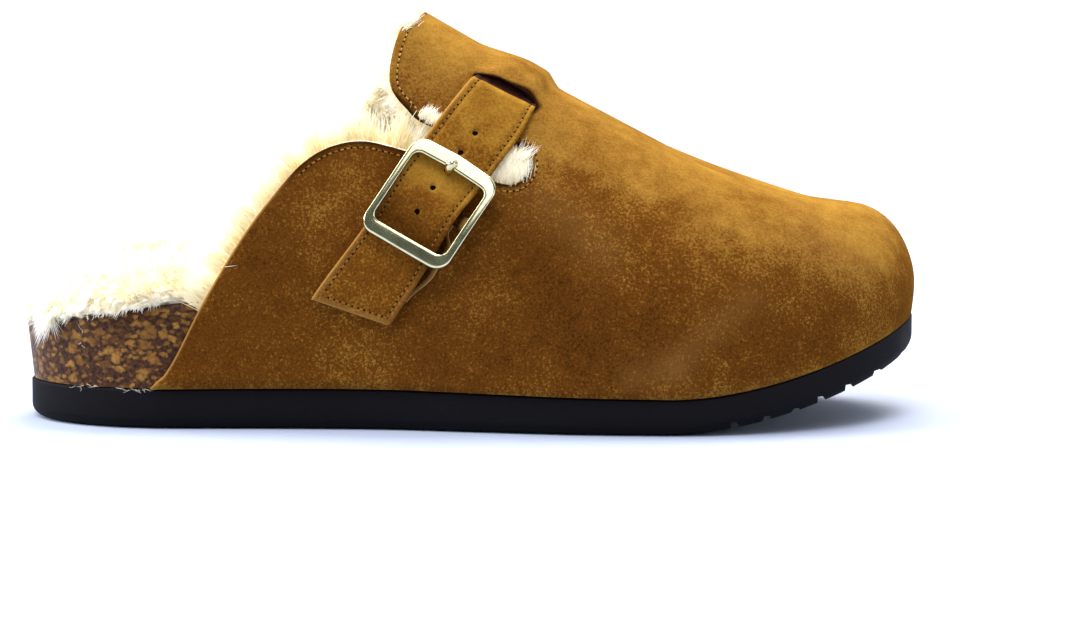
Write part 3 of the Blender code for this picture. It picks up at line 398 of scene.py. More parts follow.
for size, scarce in ((0.55 * GRANULE, 0.3), (GRANULE, 0.25)):
    cells = add_node(tree, "ShaderNodeTexVoronoi", {"Vector": lie_and_painted_light.outputs[0]}, Scale=1 / (size * MM))
    lot = add_node(tree, "ShaderNodeSeparateColor", {0: cells.outputs["Color"]})
    body = add_node(tree, "ShaderNodeValToRGB", {0: lot.outputs[1]}, (
        (0.0, "#4C2E12"), (0.4, "#6E491C"), (0.75, "#865E26"), (1.0, "#9A7032")))
    blob = add_node(tree, "ShaderNodeMapRange", {0: cells.outputs["Distance"]}, From_Min=0.66, From_Max=0.34)
    chosen = add_node(tree, "ShaderNodeMapRange", {0: lot.outputs[0]}, From_Min=scarce, From_Max=scarce + 0.08)
    mask = add_node(tree, "ShaderNodeMath", {0: blob.outputs[0], 1: chosen.outputs[0]}, operation="MULTIPLY")
    soft = add_node(tree, "ShaderNodeMath", {0: mask.outputs[0], 1: crumb.outputs[0]}, operation="MULTIPLY")
    share = add_node(tree, "ShaderNodeMapRange", {0: soft.outputs[0]}, From_Min=0.1, From_Max=0.7)
    tones = {0: share.outputs[0], 6: made, 7: body.outputs[0]}
    made = add_node(tree, "ShaderNodeMix", tones, data_type="RGBA").outputs[2]
    height = add_node(tree, "ShaderNodeMath", {0: height, 1: mask.outputs[0]}, operation="ADD").outputs[0]
relief = add_node(tree, "ShaderNodeBump", {"Height": height}, Strength=0.35, Distance=0.25 * MM)
add_node(tree, shader, {"Base Color": made, "Normal": relief.outputs[0]}, Roughness=0.5,
         Specular_IOR_Level=0.1, Coat_Weight=0.05, Coat_Roughness=0.3)

footbed = new_piece("cork_pressed", *pad_points(stations(56, 60, 40), cork_profile), cork, sharp=60.0)
fasten(footbed, "cork", "cork_footbed")

# Fleece insole: a sheepskin laid wool-side up on the footbed and folded out over
# the cork's rim round the open heel, where its deep crimped locks hang over the edge.
INSOLE = table(
    "x lip rim_pile centre_pile",
    (0.0, 2.2, 14.5, 11.0), (36.0, 2.0, 14.5, 10.5), (43.0, -4.5, 13.5, 10.0), (50.0, -9.5, 12.0, 9.0),
    (80.0, -9.4, 10.0, 8.5), (130.0, -10.0, 8.5, 8.0), (258.5, -10.0, 7.5, 7.0),
)
INSOLE_SEAT = 0.5
SKIN_SHARE = 0.86
PILE_EDGE = table(
    "step_in share",
    (0.9, 0.0), (0.4, 0.1), (0.0, 0.25), (0.1, 0.4), (0.8, 0.6), (2.6, 0.82), (5.0, 0.95), (8.0, 1.0),
)


def insole_profile(s, side):
    """Section of the wool's dense under-coat: on the dish, out over the heel's rim, rounded on top"""
    rim_x, _ = outline(s, side)
    lip = smooth(INSOLE, rim_x, "lip") - 1.2
    inside = smooth(CORK, rim_x, "high_outset") - CORK_RIM_WIDTH
    middle_x, _ = spine(s)
    reach = math.dist(cork_dish(s, side, 1.0)[:2], cork_dish(s, side, 0.0)[:2])
    edge = 1 - max(inside - lip, 0.0) / reach
    points = [Vector(cork_dish(s, side, edge * f)) for f in (0.0, 0.5, 1.0)]
    for point in points:
        point.z += INSOLE_SEAT
    pile = smooth(INSOLE, rim_x, "rim_pile") * SKIN_SHARE
    base = points[-1].z
    for row in PILE_EDGE:
        x, y = outline(s, side, lip - row.step_in)
        points.append(Vector((x, y, base + 0.2 + pile * row.share)))
    crest = points[-1]
    middle = points[0] + Vector((0.0, 0.0, smooth(INSOLE, middle_x, "centre_pile") * SKIN_SHARE))
    for share in (0.75, 0.5, 0.25):
        sag = 0.2 * (crest.z - middle.z) * math.sin(math.pi * share)
        points.append(middle.lerp(crest, share) - Vector((0.0, 0.0, sag)))
    return [tuple(point) for point in points + [middle]]


def scatter(piece, count, weight, dice):
    """Points and normals spread over the piece's faces by area times weight, in millimetres"""
    data = piece.data
    data.calc_loop_triangles()
    corners = np.array([v.co for v in data.vertices])[np.array([t.vertices for t in data.loop_triangles])]
    corners = corners / MM + (SOLE_LENGTH / 2, 0.0, 0.0)
    cross = np.cross(corners[:, 1] - corners[:, 0], corners[:, 2] - corners[:, 0])
    area = np.linalg.norm(cross, axis=1)
    normals = cross / np.maximum(area, 1e-9)[:, None]
    chance = area * weight(corners.mean(axis=1), normals)
    picked = dice.choice(len(area), count, p=chance / chance.sum())
    u, v = np.sqrt(dice.random(count)), dice.random(count)
    share = np.stack([1 - u, u * (1 - v), u * v], axis=1)
    vertex_normals = np.array([v.normal for v in data.vertices])
    smooth_normals = vertex_normals[np.array([t.vertices for t in data.loop_triangles])[picked]]
    return (corners[picked] * share[:, :, None]).sum(axis=1), (smooth_normals * share[:, :, None]).sum(axis=1)


STRAND_STEPS = 3
LOCK_STRANDS = 34000


def unit(vectors):
    """Vectors of length one"""
    return vectors / np.maximum(np.linalg.norm(vectors, axis=-1, keepdims=True), 1e-9)


def mark(data, **values):
    """Numbers kept at each point of a mesh, for its material to read"""
    for name, value in values.items():
        data.attributes.new(name, "FLOAT", "POINT").data.foreach_set("value", value)


def wool_ribbons(name, path, normals, tint, material, dice, width):
    """Strands as thin tapering ribbons along their paths, turned to face outwards"""
    count = path.shape[1]
    steps = np.linspace(0.0, 1.0, STRAND_STEPS + 1)
    grain = path[-1] - path[0]
    across = unit(np.cross(grain, normals + dice.normal(0.0, 0.5, (count, 3))))
    across *= np.where((np.cross(across, grain) * normals).sum(axis=1) < 0, -1.0, 1.0)[:, None]
    points = np.empty((count, 2 * STRAND_STEPS + 1, 3))
    grown = np.empty((count, 2 * STRAND_STEPS + 1))
    for k in range(STRAND_STEPS):
        half = across * width / 2 * (1 - 0.6 * steps[k])
        points[:, 2 * k], points[:, 2 * k + 1] = path[k] - half, path[k] + half
        grown[:, 2 * k : 2 * k + 2] = steps[k]
    points[:, -1], grown[:, -1] = path[-1], 1.0
    base = np.arange(count)[:, None] * (2 * STRAND_STEPS + 1)
    faces = [base + np.array([[2 * k, 2 * k + 1, 2 * k + 3, 2 * k + 2]]) for k in range(STRAND_STEPS - 1)]
    tips = base + np.array([[2 * STRAND_STEPS - 2, 2 * STRAND_STEPS - 1, 2 * STRAND_STEPS]])
    data = bpy.data.meshes.new(name)
    data.from_pydata(world(points.reshape(-1, 3)).tolist(), [], np.concatenate(faces).tolist() + tips.tolist())
    data.shade_smooth()
    mark(data, grown=grown.reshape(-1), tint=np.repeat(tint, 2 * STRAND_STEPS + 1))
    fasten(stand(name, data, material), "fleece")


def grow_wool(name, roots, normals, lengths, lean, material, dice, lock=2.4, width=0.3, curl=0.45):
    """Wool standing on a skin, drawn together into small crimped locks"""
    count = len(roots)
    keys = dice.choice(count, count // 40, replace=False)
    tree_of_locks = kdtree.KDTree(len(keys))
    for i, k in enumerate(keys):
        tree_of_locks.insert(roots[k], i)
    tree_of_locks.balance()
    member = np.array([tree_of_locks.find(root)[1] for root in roots])
    swirl = dice.normal(0.0, curl, (len(keys), 3))
    phase = dice.uniform(0.0, 2 * math.pi, len(keys))
    side = unit(np.cross(normals[keys], dice.normal(0.0, 1.0, (len(keys), 3))))
    heart = keys[member]
    gap = np.linalg.norm(roots - roots[heart], axis=1)
    pull = 0.45 * np.exp(-((gap / lock) ** 2))
    aim = lean + swirl[member] + dice.normal(0.0, 0.35, (count, 3))
    aim -= normals * np.minimum((aim * normals).sum(axis=1) + 0.4, 0.0)[:, None]
    path = np.empty((STRAND_STEPS + 1, count, 3))
    for k, u in enumerate(np.linspace(0.0, 1.0, STRAND_STEPS + 1)):
        own = roots + (normals * u + aim * u**1.7) * lengths[:, None]
        share = (pull * u**0.7)[:, None]
        wave = np.sin(phase[member] + u * 6.0) * 0.45 * u
        drawn = own[heart] + (roots - roots[heart]) * 0.35
        path[k] = own * (1 - share) + drawn * share + side[member] * wave[:, None]
    wool_ribbons(name, path, normals, dice.random(len(keys))[member], material, dice, width)


# Sheep's wool, combed: cream at the tips, butter yellow down in the locks, partly the wool's own tone and partly
# painted shade, letting some light through
wool, tree, shader = new_material("wool_shearling_combed")
grown = add_node(tree, "ShaderNodeAttribute", attribute_name="grown")
tint = add_node(tree, "ShaderNodeAttribute", attribute_name="tint")
depth = add_node(tree, "ShaderNodeValToRGB", {0: grown.outputs["Fac"]}, (
    (0.0, "#FFF6DA"), (0.45, "#FFFCF0"), (1.0, "#FFFFFF")))
warm = add_node(tree, "ShaderNodeValToRGB", {0: tint.outputs["Fac"]}, (
    (0.0, "#FFFFFF"), (0.6, "#FFFEFA"), (1.0, "#FFFAE8")))
fleece_colour = add_node(tree, "ShaderNodeMix", {6: depth.outputs[0], 7: warm.outputs[0]},
                         data_type="RGBA", blend_type="MULTIPLY")
fleece_colour.inputs[0].default_value = 1.0
add_node(tree, shader, {"Base Color": fleece_colour.outputs[2]}, Roughness=0.85, Sheen_Weight=0.25)
glow = add_node(tree, "ShaderNodeBsdfTranslucent", {"Color": fleece_colour.outputs[2]})
blend = add_node(tree, "ShaderNodeMixShader", {1: shader.outputs[0], 2: glow.outputs[0]}, Fac=0.5)
add_node(tree, tree.nodes["Material Output"], {"Surface": blend.outputs[0]})


def two_tone(name, grain, dark, light, detail=2.0):
    """Material that drifts between two tones over a grain in millimetres, with the drift itself"""
    material, tree, shader = new_material(name)
    place = add_node(tree, "ShaderNodeTexCoord").outputs["Object"]
    drift = add_node(tree, "ShaderNodeTexNoise", {"Vector": place}, Scale=1 / (grain * MM), Detail=detail)
    shade = add_node(tree, "ShaderNodeValToRGB", {0: drift.outputs[0]}, ((0.3, dark), (0.7, light)))
    add_node(tree, shader, {"Base Color": shade.outputs[0]})
    return material, tree, shader, drift.outputs[0]


# Wool under-coat, felted: the dense yellowish root of the fleece
felt, tree, shader, tufts = two_tone("wool_undercoat_felted", 4, "#FCF3D4", "#FFFBEC", 6.0)
fuzz = add_node(tree, "ShaderNodeBump", {"Height": tufts}, Strength=0.9, Distance=1.5 * MM)
add_node(tree, shader, {"Normal": fuzz.outputs[0]}, Roughness=0.95)

insole = new_piece("fleece_insole_skin", *pad_points(stations(48, 70, 24), insole_profile), felt, sharp=180.0)
for vertex in insole.data.vertices:
    spot = vertex.co / MM
    lump = noise.noise(spot / 9.0) + 0.5 * noise.noise(spot / 4.0)
    vertex.co += vertex.normal * (0.9 * max(lump, -0.6) * MM) * (1 if vertex.normal.z > -0.2 else 0)
fasten(insole, "fleece", "fur_insole")


def heel_weight(middles, normals):
    """Most wool where the open heel shows, none underneath"""
    shown = 1.0 - 0.93 * ease(middles[:, 0], 62.0, 100.0)
    return shown * (normals[:, 2] > -0.8) * (1.0 + 2.0 * (normals[:, 2] < 0.1))


dice = np.random.default_rng(11)
for name in ("fleece_insole_locks_a", "fleece_insole_locks_b"):
    roots, normals = scatter(insole, LOCK_STRANDS, heel_weight, dice)
    rim = ease(normals[:, 2], 0.75, 0.2)
    lengths = dice.uniform(1.8, 3.4, len(roots)) * (1 - 0.3 * rim)
    normals[:, 2] = np.maximum(normals[:, 2], -0.1)
    lean = normals * (0.2 * rim)[:, None]
    hanging = rim * np.exp(-(((roots[:, 0] - 8.6) / 1.1) ** 2)) * (roots[:, 1] < 0)
    lengths += 2.6 * hanging
    lean[:, 2] -= 0.15 * rim + 1.2 * hanging
    grow_wool(name, roots, normals, lengths, lean, wool, dice)

# Upper: one piece of tan suede, lasted over the foot and cut to the collar, notch and flap.
# The cut edge is left raw; a band over the instep stands up over the strap's hidden end,
# and the strap comes out of a slit under its lip.
UPPER_OUTSET = 1.4
UPPER_WALL = 2.0
UPPER_START = 0.84
TOE_TUCK = 1.6
TUCK_ANGLE = 22.0
TUCK_FROM = 1.6
TUCK_FULL = 2.6
# Collar edges in side view: x and z
QUARTER_EDGE = (
    (36.0, 8.0), (37.6, 12.4), (41.2, 15.4), (45.0, 21.5), (53.2, 37.7), (64.6, 56.4), (74.5, 69.1),
    (81.0, 76.0), (88.0, 80.2), (96.0, 82.0), (104.3, 80.9), (122.7, 75.4), (137.5, 70.3),
)
NOTCH_X, NOTCH_Z = 139.6, 75.8
NOTCH_RADIUS = 5.7
NOTCH_TURNS = (-50.0, 0.0, 50.0, 100.0)
FLAP_EDGE = (
    (117.0, 86.2), (109.9, 91.5), (105.7, 97.5), (106.0, 105.5), (109.0, 114.0), (115.5, 121.0),
)
INNER_EDGE = (
    (38.0, 6.0), (49.0, 30.0), (58.0, 48.5), (65.0, 59.0), (74.0, 68.5), (82.0, 76.0), (91.0, 82.5),
    (97.5, 90.0), (101.5, 99.0), (105.0, 108.5), (115.5, 121.0),
)
BUCKLE_STATION = 1.511
BUCKLE_ANGLE = 30.6
STRAP_HEADING = (0.556, 0.156, 0.816)
STRAP_STRIDE = 2.0
STRAP_WIDTH = 22.0
SLOT_T = 43.5
SLOT_SKEW = 0.147
SLOT_MIDDLE_B = -1.6
SLOT_HALF_WIDTH = 10.0
SLOT_DROP = 3.0
SLOT_ARCH = 0.3
BAND_FADE_T = 64.0
BAND_END_T = 88.0
BAND_HEIGHT = 3.0
BENCH_B = np.arange(-26.0, 26.1, 2.0)
BENCH_T = np.arange(-48.0, 94.1, 2.0)
CURVE_STEPS = 8


@lru_cache(maxsize=None)
def crown_at(x):
    """Height and roundness of the section under the crest at x"""
    return smooth(RIDGE, x, "z"), 2 / smooth(RIDGE, x, "power")


def surface(s, angle):
    """Outer face of the upper: angle 0 at the outer edge, 90 on the crest, 180 at the inner edge"""
    side = LATERAL if angle <= 90 else MEDIAL
    lean = min(angle, 180 - angle)
    tuck = TOE_TUCK * ease(s, TUCK_FROM, TUCK_FULL) * max(1 - lean / TUCK_ANGLE, 0.0) ** 2
    rim_x, rim_y = outline(s, side, UPPER_OUTSET - tuck)
    top_x, top_y = spine(s)
    foot = sole_top(rim_x) + GAP
    crown, power = crown_at(top_x)
    spread = max(math.cos(math.radians(lean)), 0.0) ** power
    rise = math.sin(math.radians(lean)) ** power
    x = top_x + (rim_x - top_x) * spread
    y = top_y + (rim_y - top_y) * spread
    return Vector((x, y, foot + (crown - foot) * rise))


def surface_frame(s, angle):
    """Point, outward normal and the two tangents of the upper's outer face"""
    ds, da = 0.002, 0.2
    before, after = max(s - ds, 0.0), min(s + ds, 3.0)
    under, over = max(angle - da, 0.0), min(angle + da, 180.0)
    along = (surface(after, angle) - surface(before, angle)) / (after - before)
    across = (surface(s, over) - surface(s, under)) / (over - under)
    normal = along.cross(across)
    if normal.length < 1e-4:
        normal = Vector((0.0, 0.0, 1.0))
    return surface(s, angle), normal.normalized(), along, across


def walk(s, angle, heading, distance):
    """Follow the straightest line on the outer face, as a flat strap does"""
    steps = max(1, math.ceil(abs(distance) / STRAP_STRIDE))
    stride = distance / steps
    for _ in range(steps):
        _, normal, along, across = surface_frame(s, angle)
        heading = (heading - normal * heading.dot(normal)).normalized()
        aa, ab, bb = along.dot(along), along.dot(across), across.dot(across)
        ha, hb = heading.dot(along), heading.dot(across)
        area = aa * bb - ab * ab
        s += stride * (ha * bb - hb * ab) / area
        angle += stride * (hb * aa - ha * ab) / area
    return s, angle, heading


def bench_column(t):
    """Points and normals of the outer face across the strap's path, t along it from the buckle"""
    s, angle, heading = walk(BUCKLE_STATION, BUCKLE_ANGLE, Vector(STRAP_HEADING), t)
    _, normal, _, _ = surface_frame(s, angle)
    column = []
    for b in BENCH_B:
        spot, lean, _ = walk(s, angle, heading.cross(normal), b)
        point, up, _, _ = surface_frame(spot, lean)
        column.append((*point, *up))
    return column


bench_table = np.array([bench_column(t) for t in BENCH_T])


def on_shoe(bench):
    """Places on the shoe of bench points: across the strap, along it, above the suede"""
    bench = np.asarray(bench, float).reshape(-1, 3)
    made = np.zeros((len(bench), 6))
    fine_t, fine_b = (bench[:, 1] - BENCH_T[0]) / 2, (bench[:, 0] - BENCH_B[0]) / 2
    low_t = np.clip(np.floor(fine_t).astype(int), 1, len(BENCH_T) - 3)
    low_b = np.clip(np.floor(fine_b).astype(int), 1, len(BENCH_B) - 3)
    t, b = fine_t - low_t, fine_b - low_b

    def weights(u):
        first, last = (-u + 2 * u**2 - u**3) / 2, (u**3 - u**2) / 2
        return first, (2 - 5 * u**2 + 3 * u**3) / 2, (u + 4 * u**2 - 3 * u**3) / 2, last

    for i, along in enumerate(weights(t)):
        for j, over in enumerate(weights(b)):
            made += (along * over)[:, None] * bench_table[low_t + i - 1, low_b + j - 1]
    return made[:, :3] + unit(made[:, 3:]) * bench[:, 2:]


def on_bench(points):
    """Bench places of points on the outer face; far from the strap they read as far across it"""
    spots = bench_table[:, :, :3].reshape(-1, 3)
    nearest = np.concatenate([
        ((block[:, None] - spots[None]) ** 2).sum(axis=2).argmin(axis=1)
        for block in np.array_split(points, 1 + len(points) // 2000)
    ])
    i, j = np.clip(nearest // len(BENCH_B), 1, len(BENCH_T) - 2), np.clip(nearest % len(BENCH_B), 1, len(BENCH_B) - 2)
    along = (bench_table[i + 1, j, :3] - bench_table[i - 1, j, :3]) / 4
    across = (bench_table[i, j + 1, :3] - bench_table[i, j - 1, :3]) / 4
    offset = points - bench_table[i, j, :3]
    far = np.linalg.norm(offset, axis=1) > 6
    aa, ab, bb = (along**2).sum(1), (along * across).sum(1), (across**2).sum(1)
    oa, ob = (offset * along).sum(1), (offset * across).sum(1)
    area = aa * bb - ab**2
    t = BENCH_T[i] + (oa * bb - ob * ab) / area
    b = BENCH_B[j] + (ob * aa - oa * ab) / area
    return np.where(far, 99.0, b), t


def curve_through(rows):
    """Rounded line through side-view rows"""
    knots = np.array(rows)
    ends = np.concatenate([2 * knots[:1] - knots[1:2], knots, 2 * knots[-1:] - knots[-2:-1]])
    line = []
    for before, start, end, after in zip(ends, ends[1:], ends[2:], ends[3:]):
        for t in np.arange(CURVE_STEPS) / CURVE_STEPS:
            bent = (end - before) * t + (2 * before - 5 * start + 4 * end - after) * t**2
            line.append(start + (bent + (3 * (start - end) + after - before) * t**3) / 2)
    return np.array(line + [knots[-1]])


def notch_rows():
    """Quarter edge, round end of the strap's notch and flap edge, as one line"""
    arc = []
    for turn in NOTCH_TURNS:
        x = NOTCH_X + NOTCH_RADIUS * math.cos(math.radians(turn))
        arc.append((x, NOTCH_Z + NOTCH_RADIUS * math.sin(math.radians(turn))))
    return (*QUARTER_EDGE, *arc, *FLAP_EDGE)


def inside_distance(points, edge):
    """Side-view distance in front of a collar edge, negative behind and above it"""
    ring = np.concatenate([edge, [(119.5, 170.0), (-20.0, 170.0), (-20.0, edge[0][1])]])
    tip = np.roll(ring, -1, axis=0)
    best = np.full(len(points), 1e9)
    crossed = np.zeros(len(points), bool)
    for (ax, az), (bx, bz) in zip(ring, tip):
        run, rise = bx - ax, bz - az
        share = np.clip(((points[:, 0] - ax) * run + (points[:, 2] - az) * rise) / (run**2 + rise**2 + 1e-9), 0, 1)
        best = np.minimum(best, np.hypot(points[:, 0] - ax - share * run, points[:, 2] - az - share * rise))
        if az != bz:
            level = (az > points[:, 2]) != (bz > points[:, 2])
            crossed ^= level & (points[:, 0] < run * (points[:, 2] - az) / rise + ax)
    return np.where(crossed, -best, best)


outer_line = curve_through(notch_rows())
inner_line = curve_through(INNER_EDGE)


def collar_distance(points):
    """Distance in from the collar edge, both sides meeting softly on the crest"""
    share = ease(points[:, 1], -1.0, 4.0)
    return inside_distance(points, outer_line) * (1 - share) + inside_distance(points, inner_line) * share


def slot_distance(points):
    """Distance out from the slit that the strap comes through"""
    b, t = on_bench(points)
    b = b - SLOT_MIDDLE_B
    t = t - SLOT_T - SLOT_SKEW * b
    wide = np.abs(b) - SLOT_HALF_WIDTH
    tall = np.maximum(t - SLOT_ARCH * (1 - (b / SLOT_HALF_WIDTH) ** 2), -SLOT_DROP - t)
    return np.where((wide > 0) & (tall > 0), np.hypot(wide, tall), np.maximum(wide, tall))


def new_skin(points, columns):
    """Thin sheet through rows of millimetre points, ready to be cut"""
    skin = bmesh.new()
    for point in points:
        skin.verts.new(point)
    skin.verts.ensure_lookup_table()
    for face in rows_to_faces(len(points) // columns, columns):
        skin.faces.new([skin.verts[k] for k in face])
    bmesh.ops.remove_doubles(skin, verts=skin.verts, dist=0.01)
    return skin


def trim(mesh, distance, snap=0.3, keep=False):
    """Cut a skin along the zero line of a distance and drop the negative side, or keep both"""
    mesh.verts.index_update()
    mesh.verts.ensure_lookup_table()
    points = np.array([v.co for v in mesh.verts])
    worth = distance(points)
    close = np.nonzero(np.abs(worth) < snap)[0]
    slope = np.zeros((len(close), 3))
    for axis in range(3):
        step = np.zeros(3)
        step[axis] = 0.05
        slope[:, axis] = (distance(points[close] + step) - distance(points[close] - step)) / 0.1
    moved = points[close] - slope * (worth[close] / np.maximum((slope**2).sum(1), 1e-6))[:, None]
    for k, spot in zip(close, moved):
        if np.linalg.norm(spot - points[k]) < 2 * snap:
            mesh.verts[k].co = spot
            worth[k] = 0.0
    value = {v: worth[v.index] for v in mesh.verts}
    for edge in list(mesh.edges):
        a, b = edge.verts
        if value[a] * value[b] < 0:
            _, born = bmesh.utils.edge_split(edge, a, value[a] / (value[a] - value[b]))
            value[born] = 0.0
    bmesh.ops.connect_verts(mesh, verts=[v for v in mesh.verts if value[v] == 0.0])
    if keep:
        return
    gone = [f for f in mesh.faces if min(value[v] for v in f.verts) < 0 or all(value[v] == 0 for v in f.verts)
            and distance(np.array([f.calc_center_median()]))[0] < 0]
    bmesh.ops.delete(mesh, geom=gone, context="FACES")


def clean(skin):
    """Drop the loose points that a cut leaves and turn all faces one way"""
    bmesh.ops.delete(skin, geom=[v for v in skin.verts if not v.link_faces], context="VERTS")
    bmesh.ops.recalc_face_normals(skin, faces=skin.faces)
    skin.normal_update()
    skin.verts.ensure_lookup_table()


def hang(name, skin, *materials):
    """Object from a cut sheet"""
    data = bpy.data.meshes.new(name)
    skin.to_mesh(data)
    skin.free()
    data.vertices.foreach_set("co", world([v.co for v in data.vertices]).reshape(-1))
    data.shade_smooth()
    return stand(name, data, *materials)


def thicken(piece, depth):
    """Build a sheet up inwards to its thickness, its cut edges in its second material"""
    wall = piece.modifiers.new("wall", "SOLIDIFY")
    wall.thickness = depth * MM
    wall.offset = -1.0
    wall.material_offset_rim = min(len(piece.data.materials) - 1, 1)
    settle(piece)


# Creases of the worn-in suede, in side view on the outer side: end points, width and depth
CREASES = table(
    "x0 z0 x1 z1 width depth",
    (150.0, 80.0, 168.0, 60.0, 7.0, 0.5), (146.0, 62.0, 176.0, 40.0, 9.0, 0.4),
    (190.0, 62.0, 206.0, 40.0, 8.0, 0.35), (205.0, 30.0, 232.0, 38.0, 6.0, 0.35),
    (70.0, 40.0, 100.0, 28.0, 9.0, 0.45), (120.0, 30.0, 160.0, 22.0, 8.0, 0.4),
    (128.0, 99.0, 121.0, 82.0, 5.0, 0.35),
)


def crease_depth(points):
    """How far the listed troughs, each with a low ridge beside it, move the suede"""
    depth = np.zeros(len(points))
    for row in CREASES:
        start, run = np.array((row.x0, row.z0)), np.array((row.x1 - row.x0, row.z1 - row.z0))
        offset = points[:, (0, 2)] - start
        share = offset @ run / (run @ run)
        away = (offset[:, 0] * run[1] - offset[:, 1] * run[0]) / np.linalg.norm(run) / row.width
        taper = np.exp(-((2.2 * (share - 0.5)) ** 4))
        depth += row.depth * taper * (0.6 * np.exp(-((away - 1.3) ** 2) * 2) - np.exp(-(away**2) * 2))
    return depth


# Scuffs where the nap is rubbed pale, in side view on the outer side
SCUFFS = table(
    "x0 z0 x1 z1 width strength",
    (207.0, 38.0, 186.0, 21.0, 4.5, 0.1), (174.0, 17.0, 186.0, 18.5, 4.5, 0.1),
    (150.0, 66.0, 166.0, 52.0, 6.0, 0.1), (222.0, 56.0, 240.0, 46.0, 6.0, 0.1),
)


# Patches painted paler or darker in tone, in side view on the outer side
TONE_PATCHES = table(
    "x z radius amount",
    (118.0, 102.0, 15.0, 0.06), (90.0, 70.0, 14.0, 0.1), (168.0, 52.0, 22.0, -0.09),
    (160.0, 22.0, 26.0, -0.09), (60.0, 18.0, 20.0, 0.03), (254.0, 42.0, 20.0, 0.12),
    (222.0, 58.0, 18.0, -0.06),
)


def tone_patches(points):
    """How much paler or darker each point is painted"""
    amount = np.zeros(len(points))
    for row in TONE_PATCHES:
        away = np.hypot(points[:, 0] - row.x, points[:, 2] - row.z) / row.radius
        amount += row.amount * np.exp(-(away**2)) * ease(-points[:, 1], -4.0, 16.0)
    return amount


def scuff(points):
    """How far the nap is rubbed at each point"""
    worn = np.zeros(len(points))
    for row in SCUFFS:
        start, run = np.array((row.x0, row.z0)), np.array((row.x1 - row.x0, row.z1 - row.z0))
        offset = points[:, (0, 2)] - start
        share = np.clip(offset @ run / (run @ run), 0.0, 1.0)
        away = np.linalg.norm(offset - share[:, None] * run, axis=1) / row.width
        worn += row.strength * np.exp(-(away**2)) * ease(-points[:, 1], 2.0, 16.0)
    return worn


# Suede, split and brushed: a short flecked nap that drinks light, with light and shade painted into its tone:
# darker down the sides and golden on top as painted light, pale where it is rubbed, and dark brown at the cut edge,
# partly burnish and partly painted shade
def make_suede(name, dark, mid, light, edge_burnish_and_shade="#2A1505", rubbed="#A07840"):
    material, tree, shader = new_material(name)
    place = add_node(tree, "ShaderNodeTexCoord").outputs["Object"]
    brushed = add_node(tree, "ShaderNodeTexNoise", {"Vector": place}, Scale=1 / (24 * MM), Detail=3.0)
    patches = add_node(tree, "ShaderNodeTexNoise", {"Vector": place}, Scale=1 / (5 * MM), Detail=3.0)
    nap = add_node(tree, "ShaderNodeTexNoise", {"Vector": place}, Scale=1 / (0.75 * MM), Detail=2.0)
    fibre = add_node(tree, "ShaderNodeTexNoise", {"Vector": place}, Scale=1 / (0.4 * MM), Detail=1.0)
    # Painted light: a number kept on the mesh makes lit tops paler and shaded sides darker
    total = add_node(tree, "ShaderNodeAttribute", attribute_name="nap").outputs["Fac"]
    flecked = add_node(tree, "ShaderNodeMapRange", {0: total}, From_Min=0.02, From_Max=0.28, To_Min=1.0, To_Max=0.35)
    for source, weight in ((brushed, 0.5), (patches, 0.3)):
        step = add_node(tree, "ShaderNodeMath", {0: source.outputs[0], 2: total}, operation="MULTIPLY_ADD")
        step.inputs[1].default_value = weight
        total = step.outputs[0]
    for source, weight in ((nap, 0.85), (fibre, 0.6)):
        fleck = add_node(tree, "ShaderNodeMath", {0: source.outputs[0]}, operation="MULTIPLY_ADD")
        fleck.inputs[1].default_value = weight
        fleck.inputs[2].default_value = -weight / 2
        links = {0: fleck.outputs[0], 1: flecked.outputs[0], 2: total}
        total = add_node(tree, "ShaderNodeMath", links, operation="MULTIPLY_ADD").outputs[0]
    share = add_node(tree, "ShaderNodeMapRange", {0: total}, From_Min=-0.02, From_Max=1.08)
    colour = add_node(tree, "ShaderNodeValToRGB", {0: share.outputs[0]}, ((0.0, dark), (0.5, mid), (1.0, light)))
    # Dark brown band along the cut edge, partly a burnished edge and partly painted shade where the edge rolls under
    edge = add_node(tree, "ShaderNodeAttribute", attribute_name="edge")
    fresh = add_node(tree, "ShaderNodeMapRange", {0: edge.outputs["Fac"]}, From_Min=0.5, From_Max=1.9)
    rim = add_node(tree, "ShaderNodeMix", {0: fresh.outputs[0], 7: colour.outputs[0]}, data_type="RGBA")
    rim.inputs[6].default_value = paint(edge_burnish_and_shade)
    rub = add_node(tree, "ShaderNodeAttribute", attribute_name="rub")
    worn = add_node(tree, "ShaderNodeMix", {0: rub.outputs["Fac"], 6: rim.outputs[2]}, data_type="RGBA")
    worn.inputs[7].default_value = paint(rubbed)
    low = add_node(tree, "ShaderNodeBump", {"Height": patches.outputs[0]}, Strength=0.2, Distance=0.6 * MM)
    high = add_node(tree, "ShaderNodeBump", {"Height": nap.outputs[0], "Normal": low.outputs[0]},
                    Strength=0.5, Distance=0.3 * MM)
    add_node(tree, shader, {"Base Color": worn.outputs[2], "Normal": high.outputs[0]}, Roughness=0.95,
             Specular_IOR_Level=0.0, Sheen_Weight=0.12, Sheen_Roughness=0.45, Sheen_Tint=paint("#F2B650"))
    return material


suede = make_suede("suede_split_brushed", "#261304", "#5B3510", "#AE8538")
raw_edge = make_suede("suede_cut_edge", "#7A5226", "#9C7040", "#BC9460", "#9C7040")

# Suede edge, dyed and burnished: the slit's lip, purple-brown and slightly shiny; the same colour is painted on the
# strap's end inside the slit as painted shade
dyed_edge_and_slit_shade, tree, shader, _ = two_tone("suede_edge_dyed_and_slit_shade", 1.5, "#1C0B08", "#3E201A", 3.0)
add_node(tree, shader, Roughness=0.7, Specular_IOR_Level=0.05)

